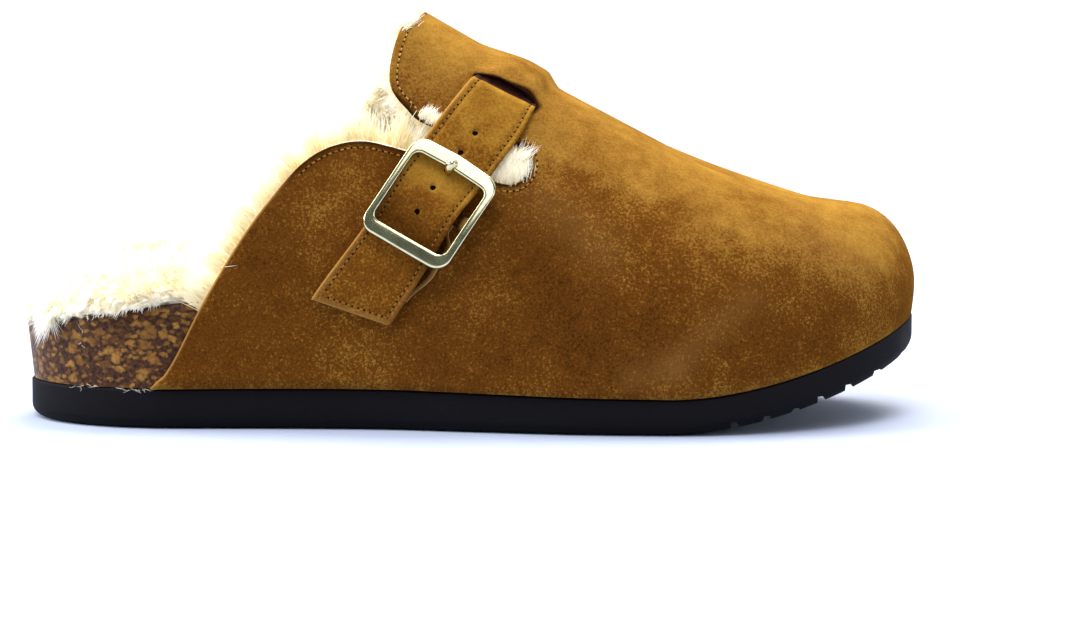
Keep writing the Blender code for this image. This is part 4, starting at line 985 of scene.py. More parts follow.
places = stations(6, 140, 90, UPPER_START)
angles = np.linspace(0.0, 180.0, 121)
skin = new_skin([surface(s, a) for s in places for a in angles], len(angles))
trim(skin, lambda spots: collar_distance(spots) - 0.7, snap=0.2, keep=True)
trim(skin, collar_distance)
trim(skin, slot_distance)
clean(skin)
points = np.array([v.co for v in skin.verts])
normals = np.array([v.normal for v in skin.verts])
if (normals[:, 2] * (points[:, 2] > 60)).sum() < 0:
    bmesh.ops.reverse_faces(skin, faces=skin.faces)
    normals = -normals
b, t = on_bench(points)
over_crest = ease(t, 46.0, 64.0)
raised = ease((b + 13.5 + 7.0 * over_crest) / (9.0 + 10.0 * over_crest), 0.0, 1.0)
raised *= 1 - ease((b - 3.5 + 2.0 * over_crest) / 6.0, 0.0, 1.0)
raised *= ease(t - SLOT_SKEW * (b - SLOT_MIDDLE_B), SLOT_T - 3.0, SLOT_T) * (1 - ease(t, BAND_FADE_T, BAND_END_T))
edge = np.minimum(collar_distance(points), slot_distance(points))
lift = BAND_HEIGHT * raised - 0.45 * np.exp(-np.maximum(edge, 0.0) / 0.6)
lift -= 0.2 * np.exp(-(((collar_distance(points) - 1.8) / 0.7) ** 2))
lift += crease_depth(points) * ease(edge, 0.0, 8.0)
for vertex, move in zip(skin.verts, normals * lift[:, None]):
    vertex.co += Vector(move)
toe_crest = surface(3.0, 90.0)
crest_verts = [v for v in skin.verts if (v.co - toe_crest).length < 8.0]
for _ in range(20):
    bmesh.ops.smooth_vert(skin, verts=crest_verts, factor=0.5, use_axis_x=True, use_axis_y=True, use_axis_z=True)
upper = hang("upper_suede", skin, suede, raw_edge)
# Stretches of the collar edge left without the dark band of burnish and painted shade: the heel's slanted edge and
# the top of the flap
no_edge_burnish_and_shade = np.maximum(1 - ease(points[:, 0], 66.0, 80.0), ease(points[:, 2], 94.0, 100.0))
slant = (1 - ease(edge, 0.0, 0.6)) * (1 - ease(points[:, 0], 64.0, 82.0))
# Painted light: paler where the suede faces up, darker down the sides, with the listed tone patches
lie_and_painted_light = 0.03 + 0.345 * ease(normals[:, 2], 0.05, 0.95) + tone_patches(points)
# Painted reflection: a paler band along the foot of the upper, standing for light thrown up from the floor
lie_and_painted_light += 0.2 * np.exp(-np.array([max(z - sole_top(x), 0.0) for x, _, z in points]) / 2.6)
mark(upper.data, edge=np.maximum(edge, 0.0) + 3.0 * no_edge_burnish_and_shade, nap=lie_and_painted_light, rub=0.9 * slant + scuff(points))
thicken(upper, UPPER_WALL)
upper.data.materials.append(dyed_edge_and_slit_shade)
middles = np.array([face.center for face in upper.data.polygons]) / MM + (SOLE_LENGTH / 2, 0.0, 0.0)
b, t = on_bench(middles)
for face, near in zip(upper.data.polygons, (np.abs(b) < 13.0) & (np.abs(t - 43.0) < 5.0)):
    if near and face.material_index == 1:
        face.material_index = 2
fasten(upper, "suede", "upper")

# Fleece lining: sheepskin glued inside the upper, its wool standing proud of the collar
# and pushing out at the notch, under the flap and over the quarter's edge.
LINING_START = 0.9
LINING_DEPTH = 4.2
LINING_COLUMNS = 79

lining_rows = [
    [surface_frame(s, a) for a in np.linspace(12.0, 168.0, LINING_COLUMNS)]
    for s in stations(3, 70, 30, LINING_START)
]
skin = new_skin([p - n * LINING_DEPTH for row in lining_rows for p, n, _, _ in row], LINING_COLUMNS)
trim(skin, lambda spots: collar_distance(spots) - 0.5)
clean(skin)
if sum(v.normal.z for v in skin.verts if v.co.z > 60) > 0:
    bmesh.ops.reverse_faces(skin, faces=skin.faces)
lining = hang("fleece_lining_skin", skin, felt)
fasten(lining, "fleece", "fur_lining")


def collar_weight(middles, normals):
    """Most wool near the collar, little down in the toe"""
    near = np.exp(-np.maximum(collar_distance(middles), 0.0) / 9.0)
    return 0.02 + near + 0.35 * (1 - ease(middles[:, 0], 100.0, 150.0))


dice = np.random.default_rng(23)
for name in ("fleece_lining_locks_a", "fleece_lining_locks_b"):
    roots, normals = scatter(lining, LOCK_STRANDS, collar_weight, dice)
    inset = collar_distance(roots)
    step = 0.3
    outward = np.stack([
        collar_distance(roots - (step, 0, 0)) - inset,
        np.zeros(len(roots)),
        collar_distance(roots - (0, 0, step)) - inset,
    ], axis=1)
    outward = unit(outward) * np.exp(-np.maximum(inset, 0.0) / 4.0)[:, None]
    lengths = dice.uniform(3.0, 5.2, len(roots)) * (1.9 - 0.9 * ease(roots[:, 2], 40.0, 52.0))
    grow_wool(name, roots, normals, lengths, outward * 0.9, wool, dice)
thicken(lining, LINING_DEPTH - UPPER_WALL - 0.1)

# Tufts of the lining's wool that have worked out over the suede, on the outer side
TUFTS = table(
    "base_x base_z tip_x tip_z spread proud count",
    (114.6, 88.0, 117.6, 90.8, 0.9, 1.0, 170), (117.4, 86.4, 119.0, 89.4, 1.0, 1.0, 150),
    (109.0, 113.6, 112.0, 116.2, 1.2, 1.0, 140), (110.5, 117.0, 113.8, 119.0, 1.2, 0.9, 130),
    (138.5, 71.5, 138.5, 76.5, 2.2, -0.4, 420), (141.5, 71.8, 141.5, 76.8, 1.8, 0.2, 420),
    (140.5, 74.0, 142.5, 79.4, 1.6, 0.6, 160), (141.0, 76.0, 146.8, 79.2, 0.9, 1.5, 40),
    (57.0, 46.4, 63.0, 47.0, 0.12, 0.5, 1),
)


def side_spot(side, x, z):
    """Station and angle where one side of the outer face passes x and z in side view"""
    s = 1 + (x - HEEL_CENTRE_X) / (side.ball_x - HEEL_CENTRE_X)
    angle = 0.0
    for _ in range(6):
        rim_x, _ = outline(s, side, UPPER_OUTSET)
        top_x, _ = spine(s)
        crown, power = crown_at(top_x)
        share = min(max((z - sole_top(rim_x) - GAP) / (crown - sole_top(rim_x) - GAP), 0.0), 1.0)
        lean = math.degrees(math.asin(share ** (1 / power)))
        angle = lean if side is LATERAL else 180 - lean
        s += (x - surface(s, angle).x) / (side.ball_x - HEEL_CENTRE_X)
    return s, angle


def side_place(x, z, lift):
    """Point over the outer side of the suede, and the normal there"""
    point, normal, _, _ = surface_frame(*side_spot(LATERAL, x, z))
    return (*(point + normal * lift), *normal)


dice = np.random.default_rng(31)
paths, facing = [], []
for row in TUFTS:
    for _ in range(row.count):
        across_x, across_z = dice.normal(0.0, row.spread, 2)
        curl_x, curl_z = dice.normal(0.0, 0.5 * row.spread, 2)
        base = side_place(row.base_x + across_x, row.base_z + 0.6 * across_z, -3.2)
        reach = dice.uniform(0.7, 1.1)
        strand = [base[:3]]
        for u in (0.4, 0.75, 1.0):
            x = row.base_x + across_x + (row.tip_x - row.base_x) * u * reach + curl_x * u * u
            z = row.base_z + 0.6 * across_z + (row.tip_z - row.base_z) * u * reach + curl_z * u * u
            spot = side_place(x, z, -1.2 + (row.proud + 1.2) * min(1.6 * u, 1.0) + 0.5 * dice.random())
            strand.append(spot[:3])
        paths.append(strand)
        facing.append(base[3:])
path = np.array(paths).transpose(1, 0, 2)
wool_ribbons("fleece_tufts", path, np.array(facing), dice.random(len(paths)), wool, dice, 0.24)



def run_along(line):
    """Distance along a line to each of its points"""
    return np.concatenate([[0.0], np.cumsum(np.linalg.norm(np.diff(line, axis=0), axis=1))])


def pick(at, reach, values):
    """Values along a line at set distances"""
    return np.stack([np.interp(at, reach, column) for column in values.T], axis=1)


# Wool rolled out over the quarter's cut edge on the outer side, butter yellow where it leaves the edge: partly the
# wool's own tone, partly painted shade at the edge
ROLL_STRANDS = 4200
ROLL_FROM, ROLL_TO = 30, 86
rolled_wool = wool.copy()
rolled_wool.name = "wool_rolled_over_edge"
rolled_depth = rolled_wool.node_tree.nodes[depth.name].color_ramp.elements
for stop, colour in zip(rolled_depth, ("#F5EBC4", "#FAF4DA", "#FFFFFA")):
    stop.color = paint(colour)
rim_line = outer_line[ROLL_FROM:ROLL_TO]
reach = run_along(rim_line)
dice = np.random.default_rng(59)
start = dice.uniform(0.5, reach[-1] - 0.5, ROLL_STRANDS)
spots = pick(start, reach, rim_line)
ahead = pick(start + 0.5, reach, rim_line) - spots
outward = unit(np.stack([-ahead[:, 1], np.zeros(ROLL_STRANDS), ahead[:, 0]], axis=1))
roots = np.array([
    side_place(x - out_x, z - out_z, lift)[:3]
    for (x, z), (out_x, _, out_z), lift in zip(spots, outward, dice.uniform(-4.2, -2.6, ROLL_STRANDS))
])
lock = (start / 2.2).astype(int)
swirl = dice.normal(0.0, 0.15, (lock.max() + 1, 3))
lean = outward + (0.0, 0.25, 0.1) + swirl[lock] + dice.normal(0.0, 0.16, (ROLL_STRANDS, 3))
lengths = 2.6 + 8.0 * dice.random(ROLL_STRANDS) ** 1.3
bend = dice.normal(0.0, 0.4, (lock.max() + 1, 3))[lock]
rise = np.linspace(0.0, 1.0, STRAND_STEPS + 1)[:, None, None]
path = roots + lean * lengths[:, None] * rise + bend * np.sin(3.0 * rise)
facing = np.tile((0.0, -1.0, 0.3), (ROLL_STRANDS, 1))
wool_ribbons("fleece_collar_roll", path, facing, dice.random(lock.max() + 1)[lock], rolled_wool, dice, 0.3)

# Loose fibres of the wool caught in the glue line and on the varnish, on the outer side of the heel
STRAYS = table(
    "x z run rise count",
    (18.5, 11.4, 4.0, 0.6, 6), (33.0, 11.2, 5.0, 0.5, 8), (17.5, 25.0, 1.4, 5.0, 3),
)
dice = np.random.default_rng(47)
paths = []
for row in STRAYS:
    for _ in range(row.count):
        x, run = row.x + 0.5 * row.run * dice.normal(), 0.6 * row.run * dice.normal()
        z, rise = row.z + 0.5 * row.rise * dice.normal(), 0.6 * row.rise * dice.normal()
        strand = []
        for u in np.linspace(0.0, 1.0, STRAND_STEPS + 1):
            at = min(max(x + run * u + 0.3 * math.sin(5 * u), 1.0), 44.0)
            s = math.acos(1 - at / HEEL_CENTRE_X) * 2 / math.pi
            strand.append((*outline(s, LATERAL, 0.7), z + rise * u + 0.3 * math.cos(4 * u)))
        paths.append(strand)
facing = np.tile((-0.3, -0.9, 0.2), (len(paths), 1))
wool_ribbons("fleece_strays", np.array(paths).transpose(1, 0, 2), facing, dice.random(len(paths)), wool, dice, 0.13)

# Strap: suede folded double and stitched round its edge, from the slit in the upper,
# through the buckle, to a tail cut on a slant; its holes are punched.
STRAP = table(
    "x lift",
    (-37.0, 1.3), (-31.0, 1.7), (-22.0, 1.7), (-13.4, 1.7), (-10.5, 1.95), (-4.0, 4.2), (0.0, 4.6),
    (4.0, 4.1), (13.4, 0.8), (22.0, 0.4), (36.5, 0.5), (39.0, 0.35), (43.6, -2.0), (47.0, -2.0),
    (70.0, -2.0),
)
STRAP_THICKNESS = 2.0
STRAP_END = 62.0
STRAP_BEND = 40.7
TAIL_SLANT = 0.27
TAIL_SLANT_RUN = 22.0
STRAP_HOLES = (-4.2, 3.6, 9.9, 16.5, 23.5)
STRAP_HOLE_RADIUS = 0.85
STRAP_PINCH = 3.0
WINDOW_PINCH = 0.4
TAIL_SPREAD = 1.2

strap_suede = make_suede("suede_strap_brushed", "#2A1504", "#643C12", "#AE8530")
strap_edge = make_suede("suede_strap_cut_edge", "#8A6238", "#B88A58", "#D2AA7C", "#B88A58", "#D2AA7C")


def hole_distance(points):
    """Distance out from the strap's punched holes, on the bench"""
    return np.min([np.hypot(points[:, 0], points[:, 1] - t) for t in STRAP_HOLES], axis=0) - STRAP_HOLE_RADIUS


def strap_shape(b, t):
    """A place on the straight strap moved to its slanted tail and to the skewed slit that pinches it"""
    slant = TAIL_SLANT * (1 - ease(t, STRAP[0].x, STRAP[0].x + TAIL_SLANT_RUN)) + SLOT_SKEW * ease(t, 22.0, 42.0)
    squeeze = STRAP_PINCH * ease(t, 27.0, 46.0) + WINDOW_PINCH * ease(t, -24.0, -9.0) * (1 - ease(t, 0.0, 13.0))
    pinch = squeeze * np.maximum(b, 0.0) / (STRAP_WIDTH / 2)
    tail = 1 - ease(t, STRAP[0].x, -12.0)
    return b - pinch - tail * TAIL_SPREAD * (1 - b / STRAP_WIDTH), t + slant * b - 0.9 * tail


across = np.linspace(-STRAP_WIDTH / 2, STRAP_WIDTH / 2, 41)
along = np.linspace(STRAP[0].x, STRAP_END, 181)
skin = new_skin([(b, t, 0.0) for t in along for b in across], len(across))
trim(skin, hole_distance, snap=0.15)
clean(skin)
# Past its bend, down in the slit, the strap is painted in the dark dyed-edge colour: painted shade in the slit
for face in skin.faces:
    face.material_index = 2 if face.calc_center_median().y > STRAP_BEND else 0
bench = np.array([v.co for v in skin.verts])
edge = np.minimum(STRAP_WIDTH / 2 - np.abs(bench[:, 0]), bench[:, 1] - along[0])
rim = np.minimum(edge, np.maximum(hole_distance(bench), 0.0) + 0.2)
lifts = np.array([smooth(STRAP, t, "lift") for t in bench[:, 1]])
bench[:, 2] = lifts + STRAP_THICKNESS - 0.35 * np.exp(-rim / 0.4) - 0.3 * np.exp(-(((edge - 2.0) / 0.8) ** 2))
straight_b, straight_t = bench[:, 0].copy(), bench[:, 1].copy()
bench[:, 0], bench[:, 1] = strap_shape(straight_b, straight_t)
top = on_shoe(bench)
for vertex, spot in zip(skin.verts, top):
    vertex.co = spot
strap = hang("strap_suede", skin, strap_suede, strap_edge, dyed_edge_and_slit_shade)
data = strap.data
inside_out = data.polygons[len(data.polygons) // 2].normal.dot(Vector((0.0, -1.0, 0.3))) < 0
if inside_out:
    data.flip_normals()
facing_up = np.array([v.normal.z for v in data.vertices])
# Painted light and shade: paler where the strap faces up and across the buckle's window, darker under the window's
# lower bar and toward the tail
lie_and_painted_light = 0.1 - 0.07 * (1 - ease(straight_t, -20.0, -6.0)) + 0.3 * ease(facing_up, 0.05, 0.95)
lie_and_painted_light += 0.16 * np.exp(-(((straight_t - 5.5) / 5.0) ** 2)) - 0.16 * np.exp(-(((straight_t + 9.0) / 4.5) ** 2))
# Pale rim along the cut edge, partly the raw edge's own tone and partly a painted highlight: it is left off the
# shaded right edge
rubbed = 0.8 * np.exp(-np.maximum(edge, 0.0) / 0.35) * (straight_b < STRAP_WIDTH / 2 - 1.0)
rubbed += 0.12 * (1 - ease(edge, 1.2, 2.4)) * (1 - ease(straight_t, -30.0, -10.0))
mark(data, edge=np.full(len(edge), 9.0), nap=lie_and_painted_light, rub=rubbed)
thicken(strap, STRAP_THICKNESS * 0.85)
fasten(strap, "suede", "strap")



def full_turn(steps):
    """Angles evenly round a circle"""
    return np.linspace(0, 2 * math.pi, steps, endpoint=False)


# Painted shade: a dark disc under each punched hole of the strap, standing for the shade down in the hole
inside, tree, shader, _ = two_tone("suede_strap_hole_shade", 0.8, "#120903", "#2A1808")
add_node(tree, shader, Roughness=0.95, Specular_IOR_Level=0.0)
spots, faces = [], []
for t in STRAP_HOLES:
    low = smooth(STRAP, t, "lift") + 0.7
    turns = full_turn(16)
    faces.append(tuple(range(len(spots), len(spots) + 16)))
    spots += [(1.1 * math.cos(a), t + 1.1 * math.sin(a), low) for a in turns]
hole_shade_discs = new_piece("strap_hole_shade_discs", on_shoe(spots), faces, inside)
fasten(hole_shade_discs, "suede")

# Stitches: waxed thread in a short lockstitch, sunk into the nap, with a needle hole painted
# dark between one stitch and the next as painted shade; round the collar and flap, and round the strap.
STITCH_PITCH = 1.8
STITCH_LENGTH = 1.05
THREAD_RADIUS = 0.23

# Polyester thread, twisted and waxed: tan, a little shinier than the suede, drifting to golden over a fine grain
def make_thread(name, dark, light):
    material, tree, shader, _ = two_tone(name, 1.2, dark, light)
    add_node(tree, shader, Roughness=0.7, Specular_IOR_Level=0.1)
    return material


golden_thread = make_thread("polyester_thread_waxed", "#80561C", "#C0914A")
brown_thread = make_thread("polyester_thread_sunk", "#5E3C12", "#946A2A")

# Needle holes: a dark disc at each, painted shade standing for the dent of the hole
needle, tree, shader, _ = two_tone("needle_hole_dark", 0.8, "#1E1106", "#35200C")
add_node(tree, shader, Roughness=0.95, Specular_IOR_Level=0.0)


def evenly(line, normals, pitch):
    """Places, directions and normals at equal steps along a line"""
    reach = run_along(line)
    at = np.arange(pitch / 2, reach[-1], pitch)
    heads = pick(at + 0.2, reach, line) - pick(at - 0.2, reach, line)
    return pick(at, reach, line), unit(heads), unit(pick(at, reach, normals))


def sew(name, lines, thread):
    """All the stitches of one seam and their needle holes, as one mesh"""
    points, faces, kinds = [], [], []
    for line, normals in lines:
        spots, heads, ups = evenly(line, normals, STITCH_PITCH)
        for spot, head, up in zip(spots, heads, ups):
            over = np.cross(head, up)
            base = len(points)
            for share, fat in ((-0.5, 0.35), (-0.36, 0.85), (0.0, 1.0), (0.36, 0.85), (0.5, 0.35)):
                rise = THREAD_RADIUS * (0.55 - 2.4 * share**2)
                for turn in full_turn(6):
                    ring = over * math.cos(turn) + up * math.sin(turn) * 0.8
                    points.append(spot + head * share * STITCH_LENGTH + up * rise + ring * THREAD_RADIUS * fat)
            made = tube_faces(5, 6)
            faces += [tuple(base + k for k in face) for face in made]
            kinds += [0] * len(made)
            base = len(points)
            hole = spot + head * STITCH_PITCH / 2 + up * 0.06
            for turn in full_turn(6):
                points.append(hole + (head * math.cos(turn) * 0.36 + over * math.sin(turn) * 0.33))
            faces.append(tuple(range(base, base + 6)))
            kinds.append(1)
    data = bpy.data.meshes.new(name)
    data.from_pydata(world(points).tolist(), [], faces)
    data.shade_smooth()
    piece = stand(name, data, thread, needle)
    data.polygons.foreach_set("material_index", kinds)
    fasten(piece, "suede")


def seam_line(side, edge, inset):
    """Line on the suede a set distance in from a collar edge, with its normals"""
    spots = []
    for x, z in edge:
        if z > sole_top(x) + 2:
            s, angle = side_spot(side, x, z)
            spots.append((s, angle, surface(s, angle)))
    line, ups = [], []
    for k, (s, angle, point) in enumerate(spots):
        run = spots[min(k + 1, len(spots) - 1)][2] - spots[max(k - 1, 0)][2]
        _, normal, _, _ = surface_frame(s, angle)
        inward = run.cross(normal) if side is LATERAL else normal.cross(run)
        s, angle, _ = walk(s, angle, inward.normalized(), inset)
        point, normal, _, _ = surface_frame(s, angle)
        line.append(point)
        ups.append(normal)
    return np.array(line), np.array(ups)


quarter_end = CURVE_STEPS * (len(QUARTER_EDGE) - 1)
sew("flap_stitches", [seam_line(LATERAL, outer_line[quarter_end::2], 2.2)], golden_thread)
quarter_seams = [seam_line(LATERAL, outer_line[52:quarter_end:2], 1.9), seam_line(MEDIAL, inner_line[::2], 1.9)]
sew("quarter_stitches", quarter_seams, brown_thread)
half = STRAP_WIDTH / 2 - 2.0
strap_seams = []
runs = [[(b, t) for t in np.arange(-34.8, 41.0, 1.0)] for b in (-half, half)]
runs.append([(b, -35.0) for b in np.linspace(-half, half, 15)])
for run in runs:
    low = np.array([(*strap_shape(b, t), smooth(STRAP, t, "lift") + STRAP_THICKNESS - 0.3) for b, t in run])
    spots = on_shoe(low)
    strap_seams.append((spots, unit(on_shoe(low + (0.0, 0.0, 1.0)) - spots)))
sew("strap_stitches", strap_seams, brown_thread)

# Buckle tab: a leaf of suede sewn on the quarter under the strap and folded round
# the buckle's bar; its edge shows beside the strap's tail.
BAR_HEIGHT = 2.35
TAB_THICKNESS = 0.95
TAB_HALF_WIDTH = 10.0
TAB_SHIFT = 3.0
TAB_SHIFT_FROM = -8.0
TAB_SHIFT_TO = -4.0
TAB_LENGTH = 27.0
TAB_END_RUN = 10.0
TAB_END_NARROW = 2.5
TAB_WRAP = 255.0

rows = []
outer_radius = BAR_HEIGHT - GAP
for t in np.linspace(-TAB_LENGTH, -0.5, 40):
    wide = TAB_SHIFT * (1 - ease(t, TAB_SHIFT_FROM, TAB_SHIFT_TO))
    narrow = TAB_END_NARROW * (1 - ease(t, -TAB_LENGTH, TAB_END_RUN - TAB_LENGTH))
    across = np.linspace(narrow - TAB_HALF_WIDTH, TAB_HALF_WIDTH + wide - narrow, 18)
    rows.append([(b, t, GAP) for b in across] + [(b, t, GAP + TAB_THICKNESS) for b in across[::-1]])
across = np.linspace(-TAB_HALF_WIDTH, TAB_HALF_WIDTH + 3.0, 18)
for turn in np.radians(np.linspace(-90.0, TAB_WRAP - 90.0, 24)):
    section = []
    for radius, order in ((outer_radius, across), (outer_radius - TAB_THICKNESS, across[::-1])):
        section += [(b, radius * math.cos(turn), BAR_HEIGHT + radius * math.sin(turn)) for b in order]
    rows.append(section)
spots = on_shoe([point for row in rows for point in row])
tab = new_piece("buckle_tab_suede", spots, tube_faces(len(rows), 36), suede, strap_edge)
margin = np.isin(np.arange(len(tab.data.vertices)) % 36, (0, 17, 18, 35))
# The tab's face is painted darker as painted shade beside the strap's tail; its margin is rubbed pale
for name, values in (("edge", 9.0), ("nap", -0.3), ("rub", 0.6 * margin)):
    mark(tab.data, **{name: np.broadcast_to(values, margin.shape).astype(float)})
for k, face in enumerate(tab.data.polygons):
    face.material_index = 1 if k < 36 * (len(rows) - 1) and k % 36 in (17, 35) else 0
fasten(tab, "suede", "buckle_tab")

# Buckle frame: zinc casting, plated pale brass and polished; a rounded rectangle curved
# to the foot, with a middle bar hung under it on two lugs.
BUCKLE_HALF_WIDTH = 13.4
BUCKLE_HALF_LENGTH = 15.0
BUCKLE_CORNER = 4.2
BUCKLE_SKEW = 0.078
BUCKLE_FLARE = 1.5
BUCKLE_SHIFT = 1.2
BUCKLE_SAG = 1.45
WINDOW_HALF_WIDTH = 11.2
WINDOW_HALF_LENGTH = 10.8
WINDOW_CORNER = 2.2
BUCKLE_UNDERSIDE = 4.2
BUCKLE_TOP = 7.8
BAR_RADIUS = 0.8
CORNER_STEPS = 12

# Zinc casting, brass plated and polished: pale greenish gold, bright, with faint wear
brass, tree, shader, wear = two_tone("zinc_cast_brass_plated", 4, "#C4BF98", "#DAD3AC")
gloss = add_node(tree, "ShaderNodeMapRange", {0: wear}, To_Min=0.12, To_Max=0.22)
ripple = add_node(tree, "ShaderNodeBump", {"Height": wear}, Strength=0.08, Distance=0.1 * MM)
add_node(tree, shader, {"Roughness": gloss.outputs[0], "Normal": ripple.outputs[0]}, Metallic=1.0)


def rounded_frame(half_width, half_length, corner):
    """Points round a rounded rectangle, with a few along each bar"""
    points = []
    for b_sign, t_sign, start in ((1, 1, 0.0), (-1, 1, 90.0), (-1, -1, 180.0), (1, -1, 270.0)):
        for turn in np.radians(np.linspace(start, start + 90.0, CORNER_STEPS)):
            b = b_sign * (half_width - corner) + corner * math.cos(turn)
            points.append((b, t_sign * (half_length - corner) + corner * math.sin(turn)))
        along_width = t_sign == b_sign
        for share in np.linspace(0.9, -0.9, 10):
            if along_width:
                points.append((b_sign * share * (half_width - corner), t_sign * half_length))
            else:
                points.append((b_sign * half_width, t_sign * share * (half_length - corner)))
    return np.array(points)


def frame_shape(b, t):
    """A place on the square frame moved as it hangs: a little skewed, wider at the lower right"""
    right, left = max(b, 0.0) / BUCKLE_HALF_WIDTH, max(-b, 0.0) / BUCKLE_HALF_WIDTH
    upper, lower = ease(t, -5.0, BUCKLE_HALF_LENGTH), ease(-t, -5.0, BUCKLE_HALF_LENGTH)
    wide = BUCKLE_SHIFT + right * BUCKLE_FLARE - 0.5 * left * lower
    return b + wide, t + BUCKLE_SKEW * b - 0.5 - BUCKLE_SAG * right * upper


outer = rounded_frame(BUCKLE_HALF_WIDTH, BUCKLE_HALF_LENGTH, BUCKLE_CORNER)
window = rounded_frame(WINDOW_HALF_WIDTH, WINDOW_HALF_LENGTH, WINDOW_CORNER)
rows = []
for out, inner in zip(outer, window):
    section = []
    for turn in full_turn(32):
        u, v = math.cos(turn), math.sin(turn)
        u, v = math.copysign(abs(u) ** 0.32, u), math.copysign(abs(v) ** 0.4, v)
        b, t = (out + inner) / 2 + (out - inner) / 2 * u
        height = (BUCKLE_TOP + BUCKLE_UNDERSIDE) / 2 + (BUCKLE_TOP - BUCKLE_UNDERSIDE) / 2 * v
        section.append((*frame_shape(b, t), height))
    rows.append(section)
rows.append(rows[0])
spots = on_shoe([point for row in rows for point in row])
frame_faces = rows_to_faces(len(rows), 32, True)
bar_rows = []
side_middle = (BUCKLE_HALF_WIDTH + WINDOW_HALF_WIDTH) / 2
for b in np.linspace(-side_middle, side_middle, 25):
    turns = full_turn(12)
    rise = (BUCKLE_UNDERSIDE + 0.6 - BAR_HEIGHT) * ease(abs(b), side_middle - 1.6, side_middle)
    fat = BAR_RADIUS * (1 + 0.8 * ease(abs(b), side_middle - 1.8, side_middle - 0.4))
    bar_rows.append([(*frame_shape(b, fat * math.cos(a)), BAR_HEIGHT + rise + fat * math.sin(a)) for a in turns])
bar_spots = on_shoe([point for row in bar_rows for point in row])
faces = frame_faces + [tuple(len(spots) + k for k in face) for face in tube_faces(len(bar_rows), 12)]
buckle = new_piece("buckle_frame_brass", np.concatenate([spots, bar_spots]), faces, brass, sharp=75.0)
fasten(buckle, "buckle_metal", "buckle_frame")

# Prong: plated wire, looped round the middle bar, up through the strap and resting
# its round tip on the frame's upper bar.
PRONG_RADIUS = 0.95
PRONG_SHIFT = 0.9
PRONG = table(
    "x height",
    (1.45, 2.35), (4.5, 2.2), (8.6, 2.3), (9.7, 4.6), (10.3, 6.6), (11.2, 7.8), (12.4, 8.3),
)
rows = []
for turn in np.linspace(math.radians(330), math.radians(20), 18):
    ring = []
    for a in full_turn(12):
        reach = 1.48 + 0.42 * math.cos(a)
        ring.append((1.3 * math.sin(a), reach * math.cos(turn), BAR_HEIGHT + reach * math.sin(turn)))
    rows.append(ring)
for t in np.linspace(2.4, 11.6, 36):
    height = smooth(PRONG, t, "height")
    slope = smooth(PRONG, t + 0.1, "height") - smooth(PRONG, t - 0.1, "height")
    head = Vector((0.0, 0.2, slope)).normalized()
    swell = PRONG_RADIUS * (1 + 0.7 * ease(t, 9.6, 10.6))
    ring = []
    for a in full_turn(12):
        b = PRONG_SHIFT * ease(t, 4.0, 8.0) + swell * math.sin(a)
        ring.append((b, t - head.z * swell * math.cos(a), height + head.y * swell * math.cos(a)))
    rows.append(ring)
for share in (0.35, 0.65, 0.86, 0.97):
    centre = np.mean(rows[17 + 36], axis=0)
    tip = centre + np.array((0.0, head.y, head.z)) * PRONG_RADIUS * 1.4 * share
    rows.append([tuple(tip + (np.array(p) - centre) * math.sqrt(1 - share**2)) for p in rows[17 + 36]])
spots = on_shoe([point for row in rows for point in row])
prong = new_piece("buckle_prong_brass", spots, tube_faces(len(rows), 12), brass, sharp=60.0)
fasten(prong, "buckle_metal", "buckle_prong")

# Studio: a white sweep under a broad overhead light, a softer light on the buckle
# side, and a camera low on the outer side of the shoe.
FLOOR_HALF = 0.75
FLOOR_DROP = 0.0002
# Paper, matte: cold white, drifting faintly
seamless, tree, shader, _ = two_tone("paper_sweep_matte", 60, "#A6B0C8", "#AAB4CC")
add_node(tree, shader, Roughness=0.9)
data = bpy.data.meshes.new("paper_sweep")
corners = [(x * FLOOR_HALF, y * FLOOR_HALF, 0) for x, y in ((-1, -1), (1, -1), (1, 1), (-1, 1))]
data.from_pydata(corners, [], [(0, 1, 2, 3)])
floor = stand("paper_sweep", data, seamless)
floor.location.z = -FLOOR_DROP
floor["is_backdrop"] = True

sky = bpy.data.worlds.new("studio_white")
sky.use_nodes = True
heading = add_node(sky.node_tree, "ShaderNodeTexCoord").outputs["Generated"]
parts = add_node(sky.node_tree, "ShaderNodeSeparateXYZ", {0: heading})
over = add_node(sky.node_tree, "ShaderNodeMath", {0: parts.outputs[2], 2: parts.outputs[1]}, operation="MULTIPLY_ADD")
over.inputs[1].default_value = 1.0
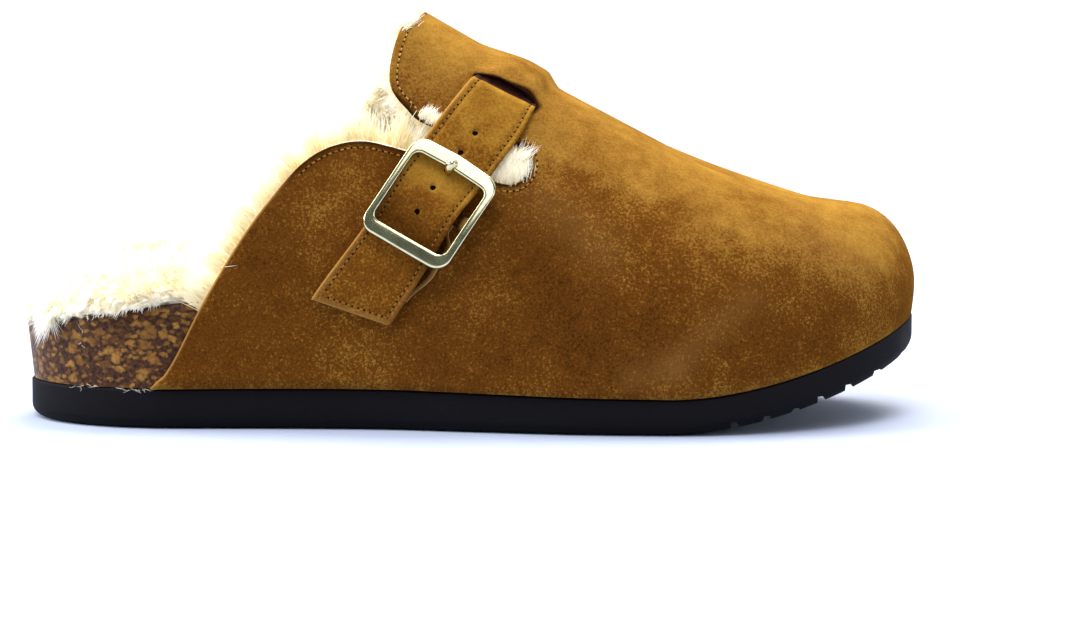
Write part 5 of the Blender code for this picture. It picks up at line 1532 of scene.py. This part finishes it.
behind = add_node(sky.node_tree, "ShaderNodeMapRange", {0: over.outputs[0]}, From_Min=0.05, From_Max=0.6)
room = add_node(sky.node_tree, "ShaderNodeValToRGB", {0: behind.outputs[0]}, ((0.0, "#565F5C"), (1.0, "#FAFCFF")))
backdrop = sky.node_tree.nodes["Background"]
sky.node_tree.links.new(room.outputs[0], backdrop.inputs["Color"])
backdrop.inputs["Strength"].default_value = 1.12
bpy.context.scene.world = sky

LIGHTS = table(
    "name place aim size power colour",
    ("overhead_softbox", (0.4, 0.9, 2.3), (0.0, 0.0, 0.05), 1.8, 92.0, "#FFF5E6"),
    ("front_softbox", (-0.1, -1.1, 2.0), (0.0, 0.0, 0.05), 1.0, 31.0, "#FFFFFF"),
    ("toe_fill", (1.0, -0.9, 0.3), (0.1, 0.0, 0.02), 0.6, 4.0, "#FFFFFF"),
    ("throat_fill", (-1.0, -0.22, 0.42), (-0.01, 0.0, 0.09), 0.4, 7.0, "#FFFFFF"),
    ("heel_fill", (-1.1, -1.2, 0.5), (-0.08, 0.0, 0.06), 0.5, 2.6, "#FFFFFF"),
    ("buckle_strip", (-0.05, -1.05, 0.72), (-0.02, -0.04, 0.06), 0.45, 1.6, "#FFFFFF"),
    ("heel_softbox", (-1.6, 0.4, 1.7), (-0.08, 0.0, 0.05), 1.3, 38.0, "#FFFFFF"),
)
for row in LIGHTS:
    lamp = bpy.data.lights.new(row.name, "AREA")
    lamp.size = row.size
    lamp.energy = row.power
    lamp.color = paint(row.colour)[:3]
    light = stand(row.name, lamp)
    light.location = row.place
    light.rotation_euler = (Vector(row.aim) - Vector(row.place)).to_track_quat("-Z", "Y").to_euler()

lens = bpy.data.cameras.new("side_camera")
lens.lens = 125.4
lens.sensor_width = 36.0
lens.shift_x = 0.0596
lens.shift_y = -0.088
camera = stand("side_camera", lens)
camera.location = (0.00075, -1.09494, 0.16043)
camera.rotation_euler = (math.radians(84.5), 0.0, 0.0)
bpy.context.scene.camera = camera
bpy.context.scene.view_settings.view_transform = "Standard"
bpy.context.scene.cycles.diffuse_bounces = 10

low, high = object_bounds()
